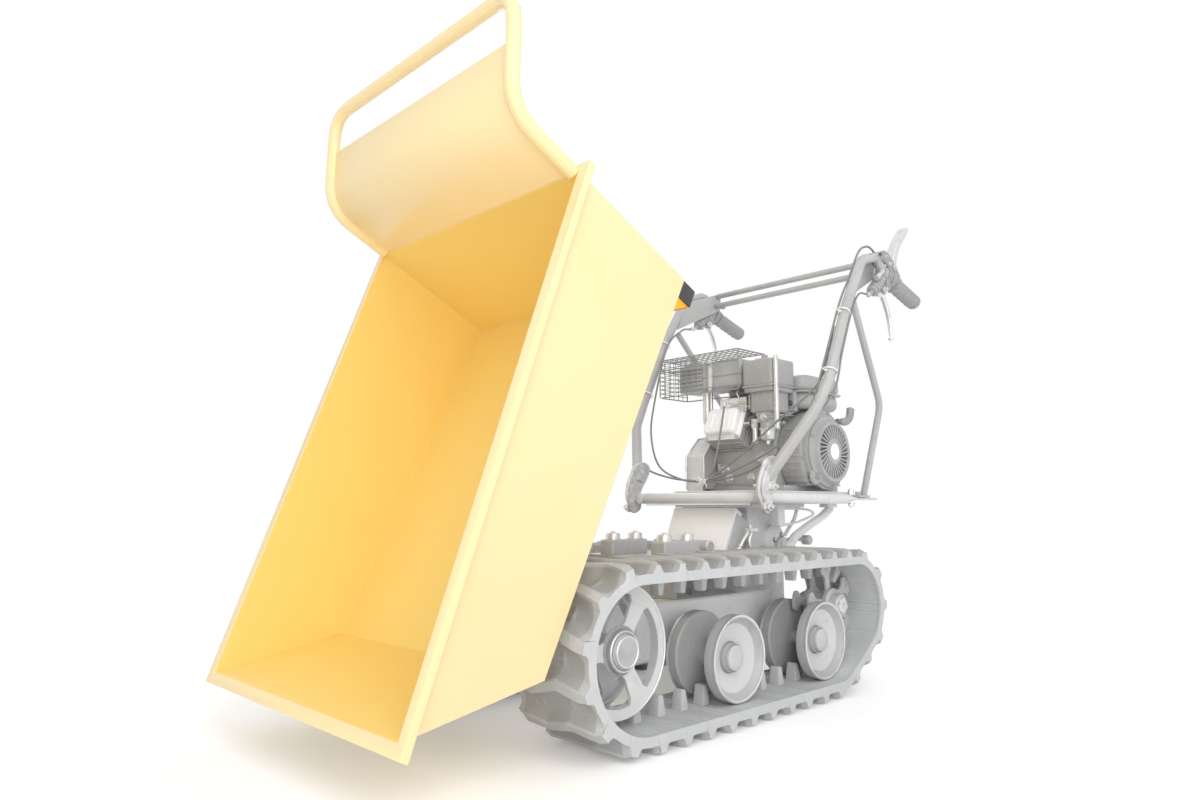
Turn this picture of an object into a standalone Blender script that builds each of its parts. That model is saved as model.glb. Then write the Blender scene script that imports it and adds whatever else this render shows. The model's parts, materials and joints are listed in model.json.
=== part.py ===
"""Tracked power barrow with a skip that tips forward, at its real size in metres.

The machine faces -Y, its left side is +X and the ground is Z = 0. The skip is modelled level, in the
frame of its hinge, and the hinge's empty holds it tipped. Lengths along the skip's floor start at its front
bottom edge. Places on the machine are written in the frame of the machine's empty.
"""
from math import acos, atan2, ceil, cos, degrees, hypot, pi, radians, sin

import bmesh
import bpy
from mathutils import Matrix, Vector

# General
GAP = 0.0003
ROUND_STEPS = 20
FORE_AFT_SHIFT = -0.277

# Skip, in its own level frame
TIP_ANGLE = radians(63.65)
HINGE_Y = -0.100
HINGE_Z = 0.276
HINGE_ALONG = 0.186
HINGE_DROP = 0.0687
SKIP_LENGTH = 0.710
SKIP_REAR_HEIGHT = 0.281
SKIP_FRONT_HEIGHT = 0.186
SKIP_FRONT_OVERHANG = 0.138
SKIP_HALF_WIDTH = 0.300
SKIP_SHEET = 0.002
RIM_OUT = 0.016
RIM_DOWN = 0.011
SPILL_HALF_WIDTH = 0.274
SPILL_STRAIGHT = 0.094
SPILL_BEND_RADIUS = 0.075
SPILL_BEND = radians(65)
SPILL_END = 0.065
HANDLE_TUBE_RADIUS = 0.0125
HANDLE_REACH = 0.080
HANDLE_CORNER = 0.052
BEARER_SIZE = 0.035
BEARER_WALL = 0.0025
BEARER_INSET = 0.005
GUSSET_LENGTH = 0.030
CAP_FLANGE = 0.003
CAP_PLUG = 0.012
LUG_THICKNESS = 0.006
LUG_LENGTH = 0.090
HINGE_TUBE_RADIUS = 0.017
PIN_RADIUS = 0.008
PIN_HEAD_RADIUS = 0.013
PIN_HEAD = 0.006

# Tracks
TRACK_CENTRE = 0.233
BELT_WIDTH = 0.180
BELT_THICKNESS = 0.011
TREAD_HEIGHT = 0.021
TREAD_PITCH = 0.060
TREAD_BASE = 0.030
TREAD_TIP = 0.013
TRACK_HEIGHT = 0.294
LUG_DEPTH = 0.033
GUIDE_WIDTH = 0.042
GUIDE_TIP_WIDTH = 0.034
GUIDE_BASE = 0.030
GUIDE_TIP = 0.014
WHEEL_CLEARANCE = 0.0011
IDLER_RADIUS = 0.106
IDLER_Y = -0.060
SPROCKET_RADIUS = 0.088
SPROCKET_Y = 0.600
ROLLER_RADIUS = 0.077
ROLLER_YS = (0.228, 0.520)
ROLLER_HUBS = (0.026, 0.014)
ROLLER_WIDTH = 0.024
WHEEL_OUTER = 0.055
ROLLER_RIM = 0.0045
ROLLER_DISH = 0.013
ROLLER_CAP = 0.017
ROLLER_END = 0.005
IDLER_DISC = 0.006
IDLER_DISC_OFFSET = 0.032
IDLER_RIM = 0.017
IDLER_HUB = 0.028
IDLER_BARREL = 0.022
IDLER_CAP = 0.021
SPOKES = 3
STAR_ARMS = 5
STAR_DISC = 0.0065
STAR_OFFSET = 0.02675
STAR_RADIUS = 0.086
STAR_HUB = 0.024
AXLE_RADIUS = 0.010
SHAFT_RADIUS = 0.011

# Chassis
BEAM_CENTRE = TRACK_CENTRE - 0.123
BEAM_WIDTH = 0.050
LUG_HALF_SPREAD = BEAM_CENTRE - 0.048
BEAM_BOTTOM = 0.092
BEAM_TOP = 0.200
BEAM_FRONT = -0.130
BEAM_REAR = 0.560
CROSS_DEPTH = 0.060
BRACKET_THICKNESS = 0.006
BRIDGE_FRONT = 0.235
BRIDGE_REAR = 0.440
BRIDGE_TOP = 0.279
BRIDGE_HALF_WIDTH = BEAM_CENTRE + 0.020
BRIDGE_SHEET = 0.004
BLOCK_X = 0.074
BLOCK_FRONT = 0.246
BLOCK_LENGTH = 0.112
BLOCK_HALF_WIDTH = 0.020
BLOCK_HEIGHT = 0.031
BOLT_SPACING = 0.070
BOLT_HEAD = 0.0085
REST_RADIUS = 0.014
REST_Y = 0.4115
REST_HALF_WIDTH = 0.078
REST_CLEARANCE = 0.0016
REST_Z = HINGE_Z + HINGE_DROP - BEARER_SIZE - REST_RADIUS - REST_CLEARANCE
PANEL_HALF_WIDTH = 0.086
PANEL_TOP_Y = 0.494
PANEL_FLANGE = 0.030
PANEL_SHEET = 0.003
RAIL_DEPTH = 0.0222
RAIL_WIDTH = 0.020
RAIL_FRONT = 0.540
RAIL_REAR = 0.810
STRUT_RADIUS = 0.0100
COVER_FACE = BEAM_CENTRE + 0.006
COVER_BACK = 0.020
COVER_DROP = 0.014
DOME_FACE = COVER_FACE - 0.012

# Engine bed
BED_HEIGHT = 0.400
BED_TUBE = 0.0125
TRACK_INNER = TRACK_CENTRE - BELT_WIDTH / 2
GUARD_FACE = TRACK_INNER - 0.0025
BED_HALF_WIDTH = GUARD_FACE + 0.0335
BED_FRONT = 0.4705
BED_REAR = 0.955
FLAT_LENGTH = 0.100
FLATTENING = 0.035
FLAT_THICKNESS = 0.007
BED_PLATE_BOTTOM = BED_HEIGHT + 0.0095
BED_PLATE_TOP = BED_PLATE_BOTTOM + 0.0070
UNDER_PLATE_BOTTOM = BED_HEIGHT - 0.0210
UNDER_PLATE_TOP = BED_PLATE_BOTTOM - RAIL_DEPTH - GAP

# Handlebars
BAR_RADIUS = 0.0125
BAR_FOOT = (BED_HALF_WIDTH + 0.016, 0.470, BED_HEIGHT + 0.040)
BAR_SPREAD = (0.264, 0.546, BED_HEIGHT + 0.188)
BAR_KNEE = (0.275, 0.585, BED_HEIGHT + 0.250)
BAR_SHOULDER = (0.274, 0.673, BED_HEIGHT + 0.428)
BAR_CORNER = (0.272, 0.762, BED_HEIGHT + 0.565)
BAR_CREST = (0.268, 0.848, BED_HEIGHT + 0.592)
BAR_BEND = 0.050
TOP_PLATE = ((0.717, BED_HEIGHT + 0.472), (0.757, BED_HEIGHT + 0.557), (0.886, BED_HEIGHT + 0.601),
             (0.880, BED_HEIGHT + 0.549))
TOP_PLATE_X = 0.2670
TOP_PLATE_SPLAY = 0.150
TOP_PLATE_THICKNESS = 0.004
CROSS_TUBE_RADIUS = 0.0078
CROSS_TUBES = {"upper": (0.871, BED_HEIGHT + 0.590), "lower": (0.864, BED_HEIGHT + 0.560)}
GRIP_ROOT = (0.274, 0.905, BED_HEIGHT + 0.538)
GRIP_END = (0.277, 1.030, BED_HEIGHT + 0.503)
GRIP_RADIUS = 0.0175
GRIP_WALL = 0.006
GRIP_TUBE = 0.0110
BRACE_RADIUS = 0.0085
BRACE_TOP = (0.268, 0.719, BED_HEIGHT + 0.462)
BRACE_KNEE = (0.230, 0.908, BED_HEIGHT + 0.232)
BRACE_FOOT_Y = 0.905
CASTING_LENGTH = 0.052
CASTING_RADIUS = 0.019
LEVER_PIVOT = (0.270, 0.847, BED_HEIGHT + 0.505)
PADDLE_THICKNESS = 0.005
PADDLE_WIDTH = 0.026
PADDLE_PIVOT = (0.270, 0.899, BED_HEIGHT + 0.571)
THROTTLE_PIVOT = (-0.270, 0.893, BED_HEIGHT + 0.571)
THROTTLE_DISC = 0.011
BRACKET_PLATE = 0.007

# Engine
CRANK_Y = 0.770
BELT_PLANE = GUARD_FACE - 0.0250
V_BELT_WIDTH = 0.011
CRANK_Z = BED_PLATE_TOP + 0.0955
CASE_HALF_WIDTH = BELT_PLANE - V_BELT_WIDTH / 2 - 0.0240
BLOWER_INNER = CASE_HALF_WIDTH + 0.0025
BLOWER_OUTER = BLOWER_INNER + 0.0595
BLOWER_RADIUS = 0.104
RECOIL_OUTER = BLOWER_OUTER + 0.032
RECOIL_RADIUS = 0.071
RECOIL_STEP = 0.086
ROPE_EXIT = Vector((BLOWER_OUTER + 0.020, CRANK_Y + 0.060, CRANK_Z + 0.078))
CYLINDER_TILT = radians(25)
ROCKER_X = 0.058 - CASE_HALF_WIDTH
GUARD_MOUTH = CASE_HALF_WIDTH + GAP
GUARD_SHEET = 0.0025
GEARBOX_Y = 0.620
GEARBOX_Z = 0.300
ENGINE_PULLEY = 0.036
GEARBOX_PULLEY = 0.052
V_BELT_DEPTH = 0.007
GUARD_OUTLINE = (
    (0.600, BED_PLATE_BOTTOM + 0.009), (0.600, CRANK_Z - 0.007), (0.648, CRANK_Z + 0.040),
    (0.800, CRANK_Z + 0.060), (0.836, CRANK_Z + 0.033), (0.838, CRANK_Z - 0.032), (0.706, GEARBOX_Z - 0.038),
    (0.650, GEARBOX_Z - 0.068), (0.575, GEARBOX_Z - 0.062), (0.548, GEARBOX_Z - 0.010),
    (0.560, GEARBOX_Z + 0.040),
)
MUFFLER_BOX = ((-0.178, 0.612, CRANK_Z + 0.160), (0.022, 0.702, CRANK_Z + 0.230))
CAGE_BOX = ((-0.226, 0.594, CRANK_Z + 0.150), (0.029, 0.708, CRANK_Z + 0.264))
CAGE_WIRE = 0.0032
CAGE_GAP = 0.0400
HEAD_HALF_WIDTH = 0.052
EXHAUST_PORT = (0.630, CRANK_Z + 0.076)
AIR_BOX = ((0.033, 0.600, CRANK_Z + 0.140), (0.121, 0.700, CRANK_Z + 0.218))
TANK_BOX = ((-0.100, 0.706, CRANK_Z + 0.105), (BLOWER_OUTER - 0.002, 0.878, CRANK_Z + 0.188))
CAP_X = 0.020
CAP_Y = 0.795

COLOURS = {
    "yellow_paint": ((0.96, 0.72, 0.18), 0.38, 0.0),
    "orange_paint": ((0.90, 0.42, 0.03), 0.40, 0.0),
    "black_plastic": ((0.030, 0.030, 0.032), 0.50, 0.0),
    "rubber": ((0.36, 0.36, 0.365), 0.85, 0.0),
    "dark_steel": ((0.33, 0.33, 0.34), 0.45, 0.3),
    "grey_steel": ((0.50, 0.50, 0.51), 0.38, 0.4),
    "bright_steel": ((0.70, 0.70, 0.71), 0.28, 0.8),
    "pale_panel": ((0.80, 0.80, 0.80), 0.40, 0.1),
    "cast_metal": ((0.58, 0.58, 0.59), 0.50, 0.5),
    "dark_plastic": ((0.37, 0.37, 0.375), 0.45, 0.0),
}


def reset_scene():
    """Removes every object that the file holds."""
    for thing in list(bpy.data.objects):
        bpy.data.objects.remove(thing, do_unlink=True)


def new_collection(name):
    """A collection that hangs in the scene."""
    made = bpy.data.collections.new(name)
    bpy.context.scene.collection.children.link(made)
    return made


reset_scene()
PARTS = new_collection("power_barrow")
CUTTERS = new_collection("cutters")


def finish_of(name):
    """The Principled material of a finish, made at its first use."""
    if name in bpy.data.materials:
        return bpy.data.materials[name]
    colour, rough, metal = COLOURS[name]
    made = bpy.data.materials.new(name)
    made.use_nodes = True
    shader = made.node_tree.nodes["Principled BSDF"]
    shader.inputs["Base Color"].default_value = (*colour, 1.0)
    shader.inputs["Roughness"].default_value = rough
    shader.inputs["Metallic"].default_value = metal
    made.diffuse_color = (*colour, 1.0)
    return made


def empty(name, place, parent=None, turn=(0.0, 0.0, 0.0)):
    """An empty that carries pieces or marks a joint's axis."""
    made = bpy.data.objects.new(name, None)
    PARTS.objects.link(made)
    made.location = place
    made.rotation_euler = turn
    made.parent = parent
    return made


MACHINE = empty("machine", (0.0, FORE_AFT_SHIFT, 0.0))
SKIP = empty("skip_hinge_axis", (0.0, HINGE_Y, HINGE_Z), MACHINE, (TIP_ANGLE, 0.0, 0.0))


def add(name, mesh, finish, parent=None, place=(0.0, 0.0, 0.0), turn=(0.0, 0.0, 0.0)):
    """Puts a mesh in the scene as a named piece, or as a cutter when it has no finish."""
    made = bpy.data.objects.new(name, mesh)
    (PARTS if finish else CUTTERS).objects.link(made)
    made.parent = parent or MACHINE
    made.location = place
    made.rotation_euler = turn
    if finish:
        mesh.materials.clear()
        mesh.materials.append(finish_of(finish))
        mesh.shade_smooth()
        mesh.set_sharp_from_angle(angle=radians(35))
    else:
        made.hide_render = True
        made.display_type = "WIRE"
    return made


def mesh_from(name, work):
    """Closes a bmesh and gives its mesh."""
    mesh = bpy.data.meshes.new(name)
    work.to_mesh(mesh)
    work.free()
    return mesh


def block(name, low, high, finish=None, parent=None, bevel=0.0, segments=1):
    """A box between two corners, placed by its centre, with its edges rounded when asked."""
    size = [high[i] - low[i] for i in range(3)]
    middle = [(high[i] + low[i]) / 2 for i in range(3)]
    work = bmesh.new()
    bmesh.ops.create_cube(work, size=1.0)
    bmesh.ops.scale(work, vec=size, verts=work.verts)
    if bevel:
        bmesh.ops.bevel(work, geom=work.edges[:], offset=bevel, segments=segments, profile=0.5,
                        affect="EDGES", material=-1)
    return add(name, mesh_from(name, work), finish, parent, middle)


def rod(name, start, end, radius, finish=None, parent=None, sides=16, end_radius=None):
    """A cylinder or cone from one point to another."""
    start, end = Vector(start), Vector(end)
    work = bmesh.new()
    bmesh.ops.create_cone(
        work, cap_ends=True, segments=sides, radius1=radius,
        radius2=radius if end_radius is None else end_radius, depth=(end - start).length,
    )
    turn = (end - start).to_track_quat("Z", "Y").to_euler()
    return add(name, mesh_from(name, work), finish, parent, (start + end) / 2, turn)


def axle(name, x0, x1, y, z, radius, finish=None, parent=None, sides=16):
    """A cylinder along X."""
    return rod(name, (x0, y, z), (x1, y, z), radius, finish, parent, sides)


def curve_mesh(name, splines, flat, depth=0.0, radius=0.0, sides=0):
    """Runs Blender's curve tools on some splines and gives the welded mesh."""
    curve = bpy.data.curves.new(name, "CURVE")
    curve.dimensions = "2D" if flat else "3D"
    curve.fill_mode = "BOTH" if flat else "FULL"
    curve.extrude = depth / 2
    curve.bevel_depth = radius
    curve.bevel_resolution = sides
    curve.use_fill_caps = not flat
    for points in splines:
        spline = curve.splines.new("POLY")
        spline.points.add(len(points) - 1)
        for spot, point in zip(spline.points, points):
            spot.co = (*point, 0.0, 1.0) if flat else (*point, 1.0)
        spline.use_cyclic_u = flat
    holder = bpy.data.objects.new(name, curve)
    CUTTERS.objects.link(holder)
    view = bpy.context.evaluated_depsgraph_get()
    mesh = bpy.data.meshes.new_from_object(holder.evaluated_get(view))
    bpy.data.objects.remove(holder, do_unlink=True)
    work = bmesh.new()
    work.from_mesh(mesh)
    bmesh.ops.remove_doubles(work, verts=work.verts, dist=1e-5)
    bmesh.ops.recalc_face_normals(work, faces=work.faces)
    work.to_mesh(mesh)
    work.free()
    return mesh


SIDEWAYS = (pi / 2, 0.0, pi / 2)


def plate(name, outlines, x0, x1, finish=None, parent=None):
    """A flat outline in (y, z), with holes as further outlines, from x0 to x1."""
    mesh = curve_mesh(name, outlines, True, depth=abs(x1 - x0))
    return add(name, mesh, finish, parent, ((x0 + x1) / 2, 0.0, 0.0), SIDEWAYS)


def tube(name, points, radius, finish=None, parent=None, sides=2):
    """A round tube or wire along points."""
    mesh = curve_mesh(name, [points], False, radius=radius, sides=sides)
    return add(name, mesh, finish, parent)


def turned(name, profile, place, finish=None, parent=None, steps=ROUND_STEPS):
    """A profile of (x, radius) turned about the X axis through a place."""
    work = bmesh.new()
    spots = [work.verts.new((radius, 0.0, x)) for x, radius in profile]
    for first, second in zip(spots, spots[1:]):
        work.edges.new((first, second))
    made = add(name, mesh_from(name, work), finish, parent, place, (0.0, pi / 2, 0.0))
    screw = made.modifiers.new("turn", "SCREW")
    screw.axis = "Z"
    screw.angle = 2 * pi
    screw.steps = steps
    screw.render_steps = steps
    screw.use_merge_vertices = True
    screw.merge_threshold = 0.0001
    screw.use_smooth_shade = True
    return made


def baked(thing):
    """A piece's evaluated mesh in place of its modifiers, so that it can be cut or joined."""
    bpy.context.view_layer.update()
    view = bpy.context.evaluated_depsgraph_get()
    mesh = bpy.data.meshes.new_from_object(thing.evaluated_get(view))
    thing.modifiers.clear()
    thing.data = mesh
    return thing


def combine(target, tool, operation):
    """Adds a Boolean with an exact solver, and puts its tool among the cutters."""
    for home in list(tool.users_collection):
        home.objects.unlink(tool)
    CUTTERS.objects.link(tool)
    tool.hide_render = True
    tool.display_type = "WIRE"
    made = target.modifiers.new(operation.lower() + "_" + tool.name, "BOOLEAN")
    made.operation = operation
    made.object = tool
    made.solver = "EXACT"
    return target


def join(target, *tools):
    """Fuses pieces onto a target."""
    for tool in tools:
        combine(target, tool, "UNION")
    return target


def cut(target, *tools):
    """Takes pieces out of a target."""
    for tool in tools:
        combine(target, tool, "DIFFERENCE")
    return target


def arc(centre, radius, first, last, count):
    """Points on an arc in a plane, by angles in degrees, both ends included."""
    return [
        (centre[0] + radius * cos(radians(first + (last - first) * i / count)),
         centre[1] + radius * sin(radians(first + (last - first) * i / count)))
        for i in range(count + 1)
    ]


def rounded(points, radius, steps=4):
    """A path with its inner corners rounded to a bend radius."""
    points = [Vector(point) for point in points]
    path = [points[0]]
    for before, corner, after in zip(points, points[1:], points[2:]):
        back = (before - corner).normalized()
        ahead = (after - corner).normalized()
        half = back.angle(ahead) / 2
        reach = min(radius / max(sin(half) / cos(half), 1e-6), 0.45 * min((before - corner).length,
                                                                       (after - corner).length))
        start, end = corner + back * reach, corner + ahead * reach
        for i in range(steps + 1):
            t = i / steps
            path.append(start * (1 - t) ** 2 + corner * 2 * t * (1 - t) + end * t ** 2)
    path.append(points[-1])
    return [tuple(point) for point in path]


def smooth_route(points, spacing):
    """Points at even spacing on the smooth curve through a cable's own points."""
    spots = [Vector(point) for point in points]
    ends = [spots[0] * 2 - spots[1], *spots, spots[-1] * 2 - spots[-2]]
    path = [spots[0]]
    for a, b, c, d in zip(ends, ends[1:], ends[2:], ends[3:]):
        count = max(2, ceil((c - b).length / spacing))
        for i in range(1, count + 1):
            t = i / count
            path.append(0.5 * (2 * b + (c - a) * t + (2 * a - 5 * b + 4 * c - d) * t ** 2
                               + (3 * b - a - 3 * c + d) * t ** 3))
    return [tuple(point) for point in path]


def mirrored(point, side):
    """A point of the left side, or its mirror image on the right when side is -1."""
    return (point[0] * side, point[1], point[2])


def along(y_along):
    """The skip's own y of a distance along its floor."""
    return y_along - HINGE_ALONG


def above(height):
    """The skip's own z of a height over its floor."""
    return height + HINGE_DROP


SIDES = (("left", 1), ("right", -1))


# Skip

def skip_tub():
    """Open steel tub, walls one sheet thick, with a rolled rim."""
    work = bmesh.new()
    bmesh.ops.create_cube(work, size=2.0)
    for spot in work.verts:
        rear, top = spot.co.y > 0, spot.co.z > 0
        if rear:
            y, z = SKIP_LENGTH, SKIP_REAR_HEIGHT if top else 0.0
        else:
            y, z = (-SKIP_FRONT_OVERHANG, SKIP_FRONT_HEIGHT) if top else (0.0, 0.0)
        spot.co = (SKIP_HALF_WIDTH * (1 if spot.co.x > 0 else -1), along(y), above(z))
    lid = max(work.faces, key=lambda face: face.calc_center_median().z)
    rim = list(lid.edges)
    bmesh.ops.delete(work, geom=[lid], context="FACES_ONLY")
    for out, down in ((RIM_OUT, 0.0), (0.0, RIM_DOWN)):
        grown = bmesh.ops.extrude_edge_only(work, edges=rim)["geom"]
        spots = [item for item in grown if isinstance(item, bmesh.types.BMVert)]
        rim = [item for item in grown if isinstance(item, bmesh.types.BMEdge)
               and all(spot in spots for spot in item.verts)]
        for spot in spots:
            rear = spot.co.y > along(SKIP_LENGTH / 2)
            spot.co.x += out * (1 if spot.co.x > 0 else -1)
            spot.co.y += out * (1 if rear else -1)
            spot.co.z -= down
    bmesh.ops.recalc_face_normals(work, faces=work.faces)
    tub = add("skip_tub", mesh_from("skip_tub", work), "yellow_paint", SKIP)
    shell = tub.modifiers.new("sheet", "SOLIDIFY")
    shell.solidify_mode = "NON_MANIFOLD"
    shell.nonmanifold_thickness_mode = "CONSTRAINTS"
    shell.thickness = SKIP_SHEET
    shell.offset = 1.0
    return tub


def spill_profile(inset, reach):
    """The spill plate's side line (y, z): up the rear wall, round the bend and out to the rear."""
    radius = SPILL_BEND_RADIUS - inset
    start_y = along(SKIP_LENGTH + inset)
    start_z = above(SKIP_REAR_HEIGHT + SPILL_STRAIGHT)
    bend = arc((start_y + radius, start_z), radius, 180, 180 - degrees(SPILL_BEND), 6)
    last = bend[-1]
    end = (last[0] + reach * sin(SPILL_BEND), last[1] + reach * cos(SPILL_BEND))
    return bend, end


def spill_plate():
    """Curved plate that stands on the rear rim."""
    bend, end = spill_profile(0.0, SPILL_END)
    base = above(SKIP_REAR_HEIGHT) + SKIP_SHEET + GAP
    line = [(bend[0][0], base), *bend, end]
    work = bmesh.new()
    spots = [work.verts.new((-SPILL_HALF_WIDTH, y, z)) for y, z in line]
    edges = [work.edges.new(pair) for pair in zip(spots, spots[1:])]
    grown = bmesh.ops.extrude_edge_only(work, edges=edges)["geom"]
    bmesh.ops.translate(work, vec=(2 * SPILL_HALF_WIDTH, 0.0, 0.0),
                        verts=[item for item in grown if isinstance(item, bmesh.types.BMVert)])
    bmesh.ops.recalc_face_normals(work, faces=work.faces)
    made = add("spill_plate", mesh_from("spill_plate", work), "yellow_paint", SKIP)
    shell = made.modifiers.new("sheet", "SOLIDIFY")
    shell.thickness = SKIP_SHEET
    shell.offset = 0.0
    shell.use_even_offset = True
    return made


def skip_handle():
    """Bent tube that runs up both edges of the spill plate and across behind it."""
    x = SPILL_HALF_WIDTH + HANDLE_TUBE_RADIUS + GAP * 2
    bend, end = spill_profile(0.0, SPILL_END + HANDLE_REACH)
    foot = above(SKIP_REAR_HEIGHT) + SKIP_SHEET + GAP
    leg = [(bend[0][0], foot), *bend]
    left = [(x, y, z) for y, z in leg]
    right = [(-x, y, z) for y, z in leg]
    corner = rounded([left[-1], (x, *end), (-x, *end), right[-1]], HANDLE_CORNER)
    path = left[:-1] + corner + right[-2::-1]
    return tube("skip_handle", path, HANDLE_TUBE_RADIUS, "yellow_paint", SKIP, 3)


def skip_bearer():
    """Square tube under the rear of the floor, with a gusset at each end, and its end caps."""
    top = above(0.0) - GAP
    rear = along(SKIP_LENGTH)
    low = (-SKIP_HALF_WIDTH + BEARER_INSET, rear - BEARER_SIZE, top - BEARER_SIZE)
    high = (SKIP_HALF_WIDTH - BEARER_INSET, rear, top)
    bearer = block("skip_bearer", low, high, "orange_paint", SKIP)
    wall = BEARER_WALL
    bore = block("bearer_bore", (low[0] - wall, low[1] + wall, low[2] + wall),
                 (high[0] + wall, high[1] - wall, high[2] - wall), None, SKIP)
    gussets = []
    for label, side in SIDES:
        outer = high[0] * side
        gusset = plate("bearer_gusset_" + label,
                       [[(low[1] + wall / 2, top), (low[1] - GUSSET_LENGTH, top),
                         (low[1] + wall / 2, low[2] + wall)]],
                       outer - side * wall * 1.6, outer - side * wall * 0.2, None, SKIP)
        gussets.append(gusset)
    join(bearer, *gussets)
    cut(bearer, bore)
    for label, side in SIDES:
        face = high[0] * side + side * GAP
        cap = block("bearer_cap_" + label,
                    (min(face, face + side * CAP_FLANGE), low[1] + GAP, low[2] + GAP),
                    (max(face, face + side * CAP_FLANGE), high[1] - GAP, high[2] - GAP),
                    "black_plastic", SKIP)
        inside = face - side * CAP_PLUG
        fit = wall + GAP
        plug = block("bearer_plug_" + label, (min(face + side * GAP, inside), low[1] + fit, low[2] + fit),
                     (max(face + side * GAP, inside), high[1] - fit, high[2] - fit), None, SKIP)
        join(cap, plug)


def skip_hinge():
    """Sleeve on the hinge pin with two lugs up to the floor."""
    bore = PIN_RADIUS + GAP
    half = LUG_HALF_SPREAD
    sleeve = turned("skip_hinge", [(half, bore), (half, HINGE_TUBE_RADIUS), (-half, HINGE_TUBE_RADIUS),
                                   (-half, bore), (half, bore)], (0.0, 0.0, 0.0), "yellow_paint", SKIP, 16)
    baked(sleeve)
    top = HINGE_DROP - GAP
    foot = LUG_LENGTH / 2
    for label, side in SIDES:
        outer = side * (half - 0.0005)
        lug = plate("hinge_lug_" + label,
                    [[(-HINGE_TUBE_RADIUS * 0.9, 0.004), (HINGE_TUBE_RADIUS * 0.9, 0.004), (foot, top),
                      (-foot, top)]],
                    outer, outer - side * LUG_THICKNESS, None, SKIP)
        join(sleeve, lug)
    hole = axle("sleeve_bore", -half - 0.01, half + 0.01, 0.0, 0.0, bore, None, SKIP, 16)
    cut(sleeve, hole)
    return sleeve


# Track layout, shared by the belts and the wheels

BOTTOM = TREAD_HEIGHT + BELT_THICKNESS
TOP = TRACK_HEIGHT - TREAD_HEIGHT - BELT_THICKNESS
IDLER_Z = TOP - WHEEL_CLEARANCE - IDLER_RADIUS
SPROCKET_Z = TOP - WHEEL_CLEARANCE - SPROCKET_RADIUS
ROLLER_Z = BOTTOM + GAP * 2 + ROLLER_RADIUS


def belt_line():
    """Points along the belt's inner face, clockwise seen from the left, from the top of the idler."""
    idler = IDLER_RADIUS + WHEEL_CLEARANCE
    drive = SPROCKET_RADIUS + WHEEL_CLEARANCE
    roller = ROLLER_RADIUS + GAP * 2
    dy, dz = SPROCKET_Y - ROLLER_YS[1], SPROCKET_Z - ROLLER_Z
    lean = degrees(atan2(dz, dy) - acos((roller - drive) / hypot(dy, dz)))
    rear = arc((SPROCKET_Y, SPROCKET_Z), drive, 90, lean, 16)
    heel = arc((ROLLER_YS[1], ROLLER_Z), roller, lean, -90, 4)
    toe_radius = IDLER_Z - BOTTOM
    toe = arc((IDLER_Y + toe_radius - idler, IDLER_Z), toe_radius, -90, -180, 10)
    nose = arc((IDLER_Y, IDLER_Z), idler, 180, 90, 10)
    return rear + heel + toe + nose[1:]


def resampled(line, count):
    """Even steps round a closed line, as (point, outward normal)."""
    closed = line + [line[0]]
    lengths = [hypot(b[0] - a[0], b[1] - a[1]) for a, b in zip(closed, closed[1:])]
    total = sum(lengths)
    spots = []
    for i in range(count):
        want = total * i / count
        k = 0
        while want > lengths[k]:
            want -= lengths[k]
            k += 1
        (ay, az), (by, bz) = closed[k], closed[k + 1]
        t = want / lengths[k]
        tangent = ((by - ay) / lengths[k], (bz - az) / lengths[k])
        spots.append(((ay + (by - ay) * t, az + (bz - az) * t), (-tangent[1], tangent[0])))
    return spots, total


def offset(spot, distance):
    """A point moved out from the belt's inner face."""
    (y, z), (ny, nz) = spot
    return (y + ny * distance, z + nz * distance)


BELT_STEPS = 8
BELT_LENGTH = resampled(belt_line(), 10)[1]
LINKS = round(BELT_LENGTH / TREAD_PITCH)
LINE = resampled(belt_line(), LINKS * BELT_STEPS)[0]


def track_belt(label, side):
    """Rubber belt with treads outside and a row of guide lugs inside."""
    link = BELT_LENGTH / LINKS
    inner = belt_line()
    outer = []
    for n in range(LINKS):
        for share, height in ((0.5 - TREAD_BASE / link / 2, 0.0), (0.5 - TREAD_TIP / link / 2, TREAD_HEIGHT),
                              (0.5 + TREAD_TIP / link / 2, TREAD_HEIGHT), (0.5 + TREAD_BASE / link / 2, 0.0)):
            outer.append(offset(line_at(n + share), BELT_THICKNESS + height))
    x = TRACK_CENTRE * side
    belt = plate("track_belt_" + label, [outer, inner], x - BELT_WIDTH / 2, x + BELT_WIDTH / 2, "rubber")
    lugs = bmesh.new()
    for n in range(LINKS):
        middle = line_at(n)
        ahead = line_at(n + 0.1)
        direction = Vector((0.0, ahead[0][0] - middle[0][0], ahead[0][1] - middle[0][1])).normalized()
        inward = Vector((0.0, -middle[1][0], -middle[1][1]))
        foot = Vector((x, *middle[0])) - inward * BELT_THICKNESS * 0.4
        made = bmesh.ops.create_cube(lugs, size=1.0)["verts"]
        for spot in made:
            deep = spot.co.z > 0
            wide = (GUIDE_TIP_WIDTH if deep else GUIDE_WIDTH) * (1 if spot.co.x > 0 else -1) / 2
            long = (GUIDE_TIP if deep else GUIDE_BASE) * (1 if spot.co.y > 0 else -1) / 2
            depth = LUG_DEPTH + BELT_THICKNESS * 0.4 if deep else 0.0
            spot.co = foot + Vector((wide, 0.0, 0.0)) + direction * long + inward * depth
    bmesh.ops.recalc_face_normals(lugs, faces=lugs.faces)
    join(belt, add("guide_lugs_" + label, mesh_from("guide_lugs_" + label, lugs), None))
    belt.modifiers[-1].use_self = True


def line_at(links):
    """The belt's inner face at a number of links round from its start."""
    return LINE[round(links * BELT_STEPS) % len(LINE)] if (links * BELT_STEPS) % 1 == 0 else between(links)


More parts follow.
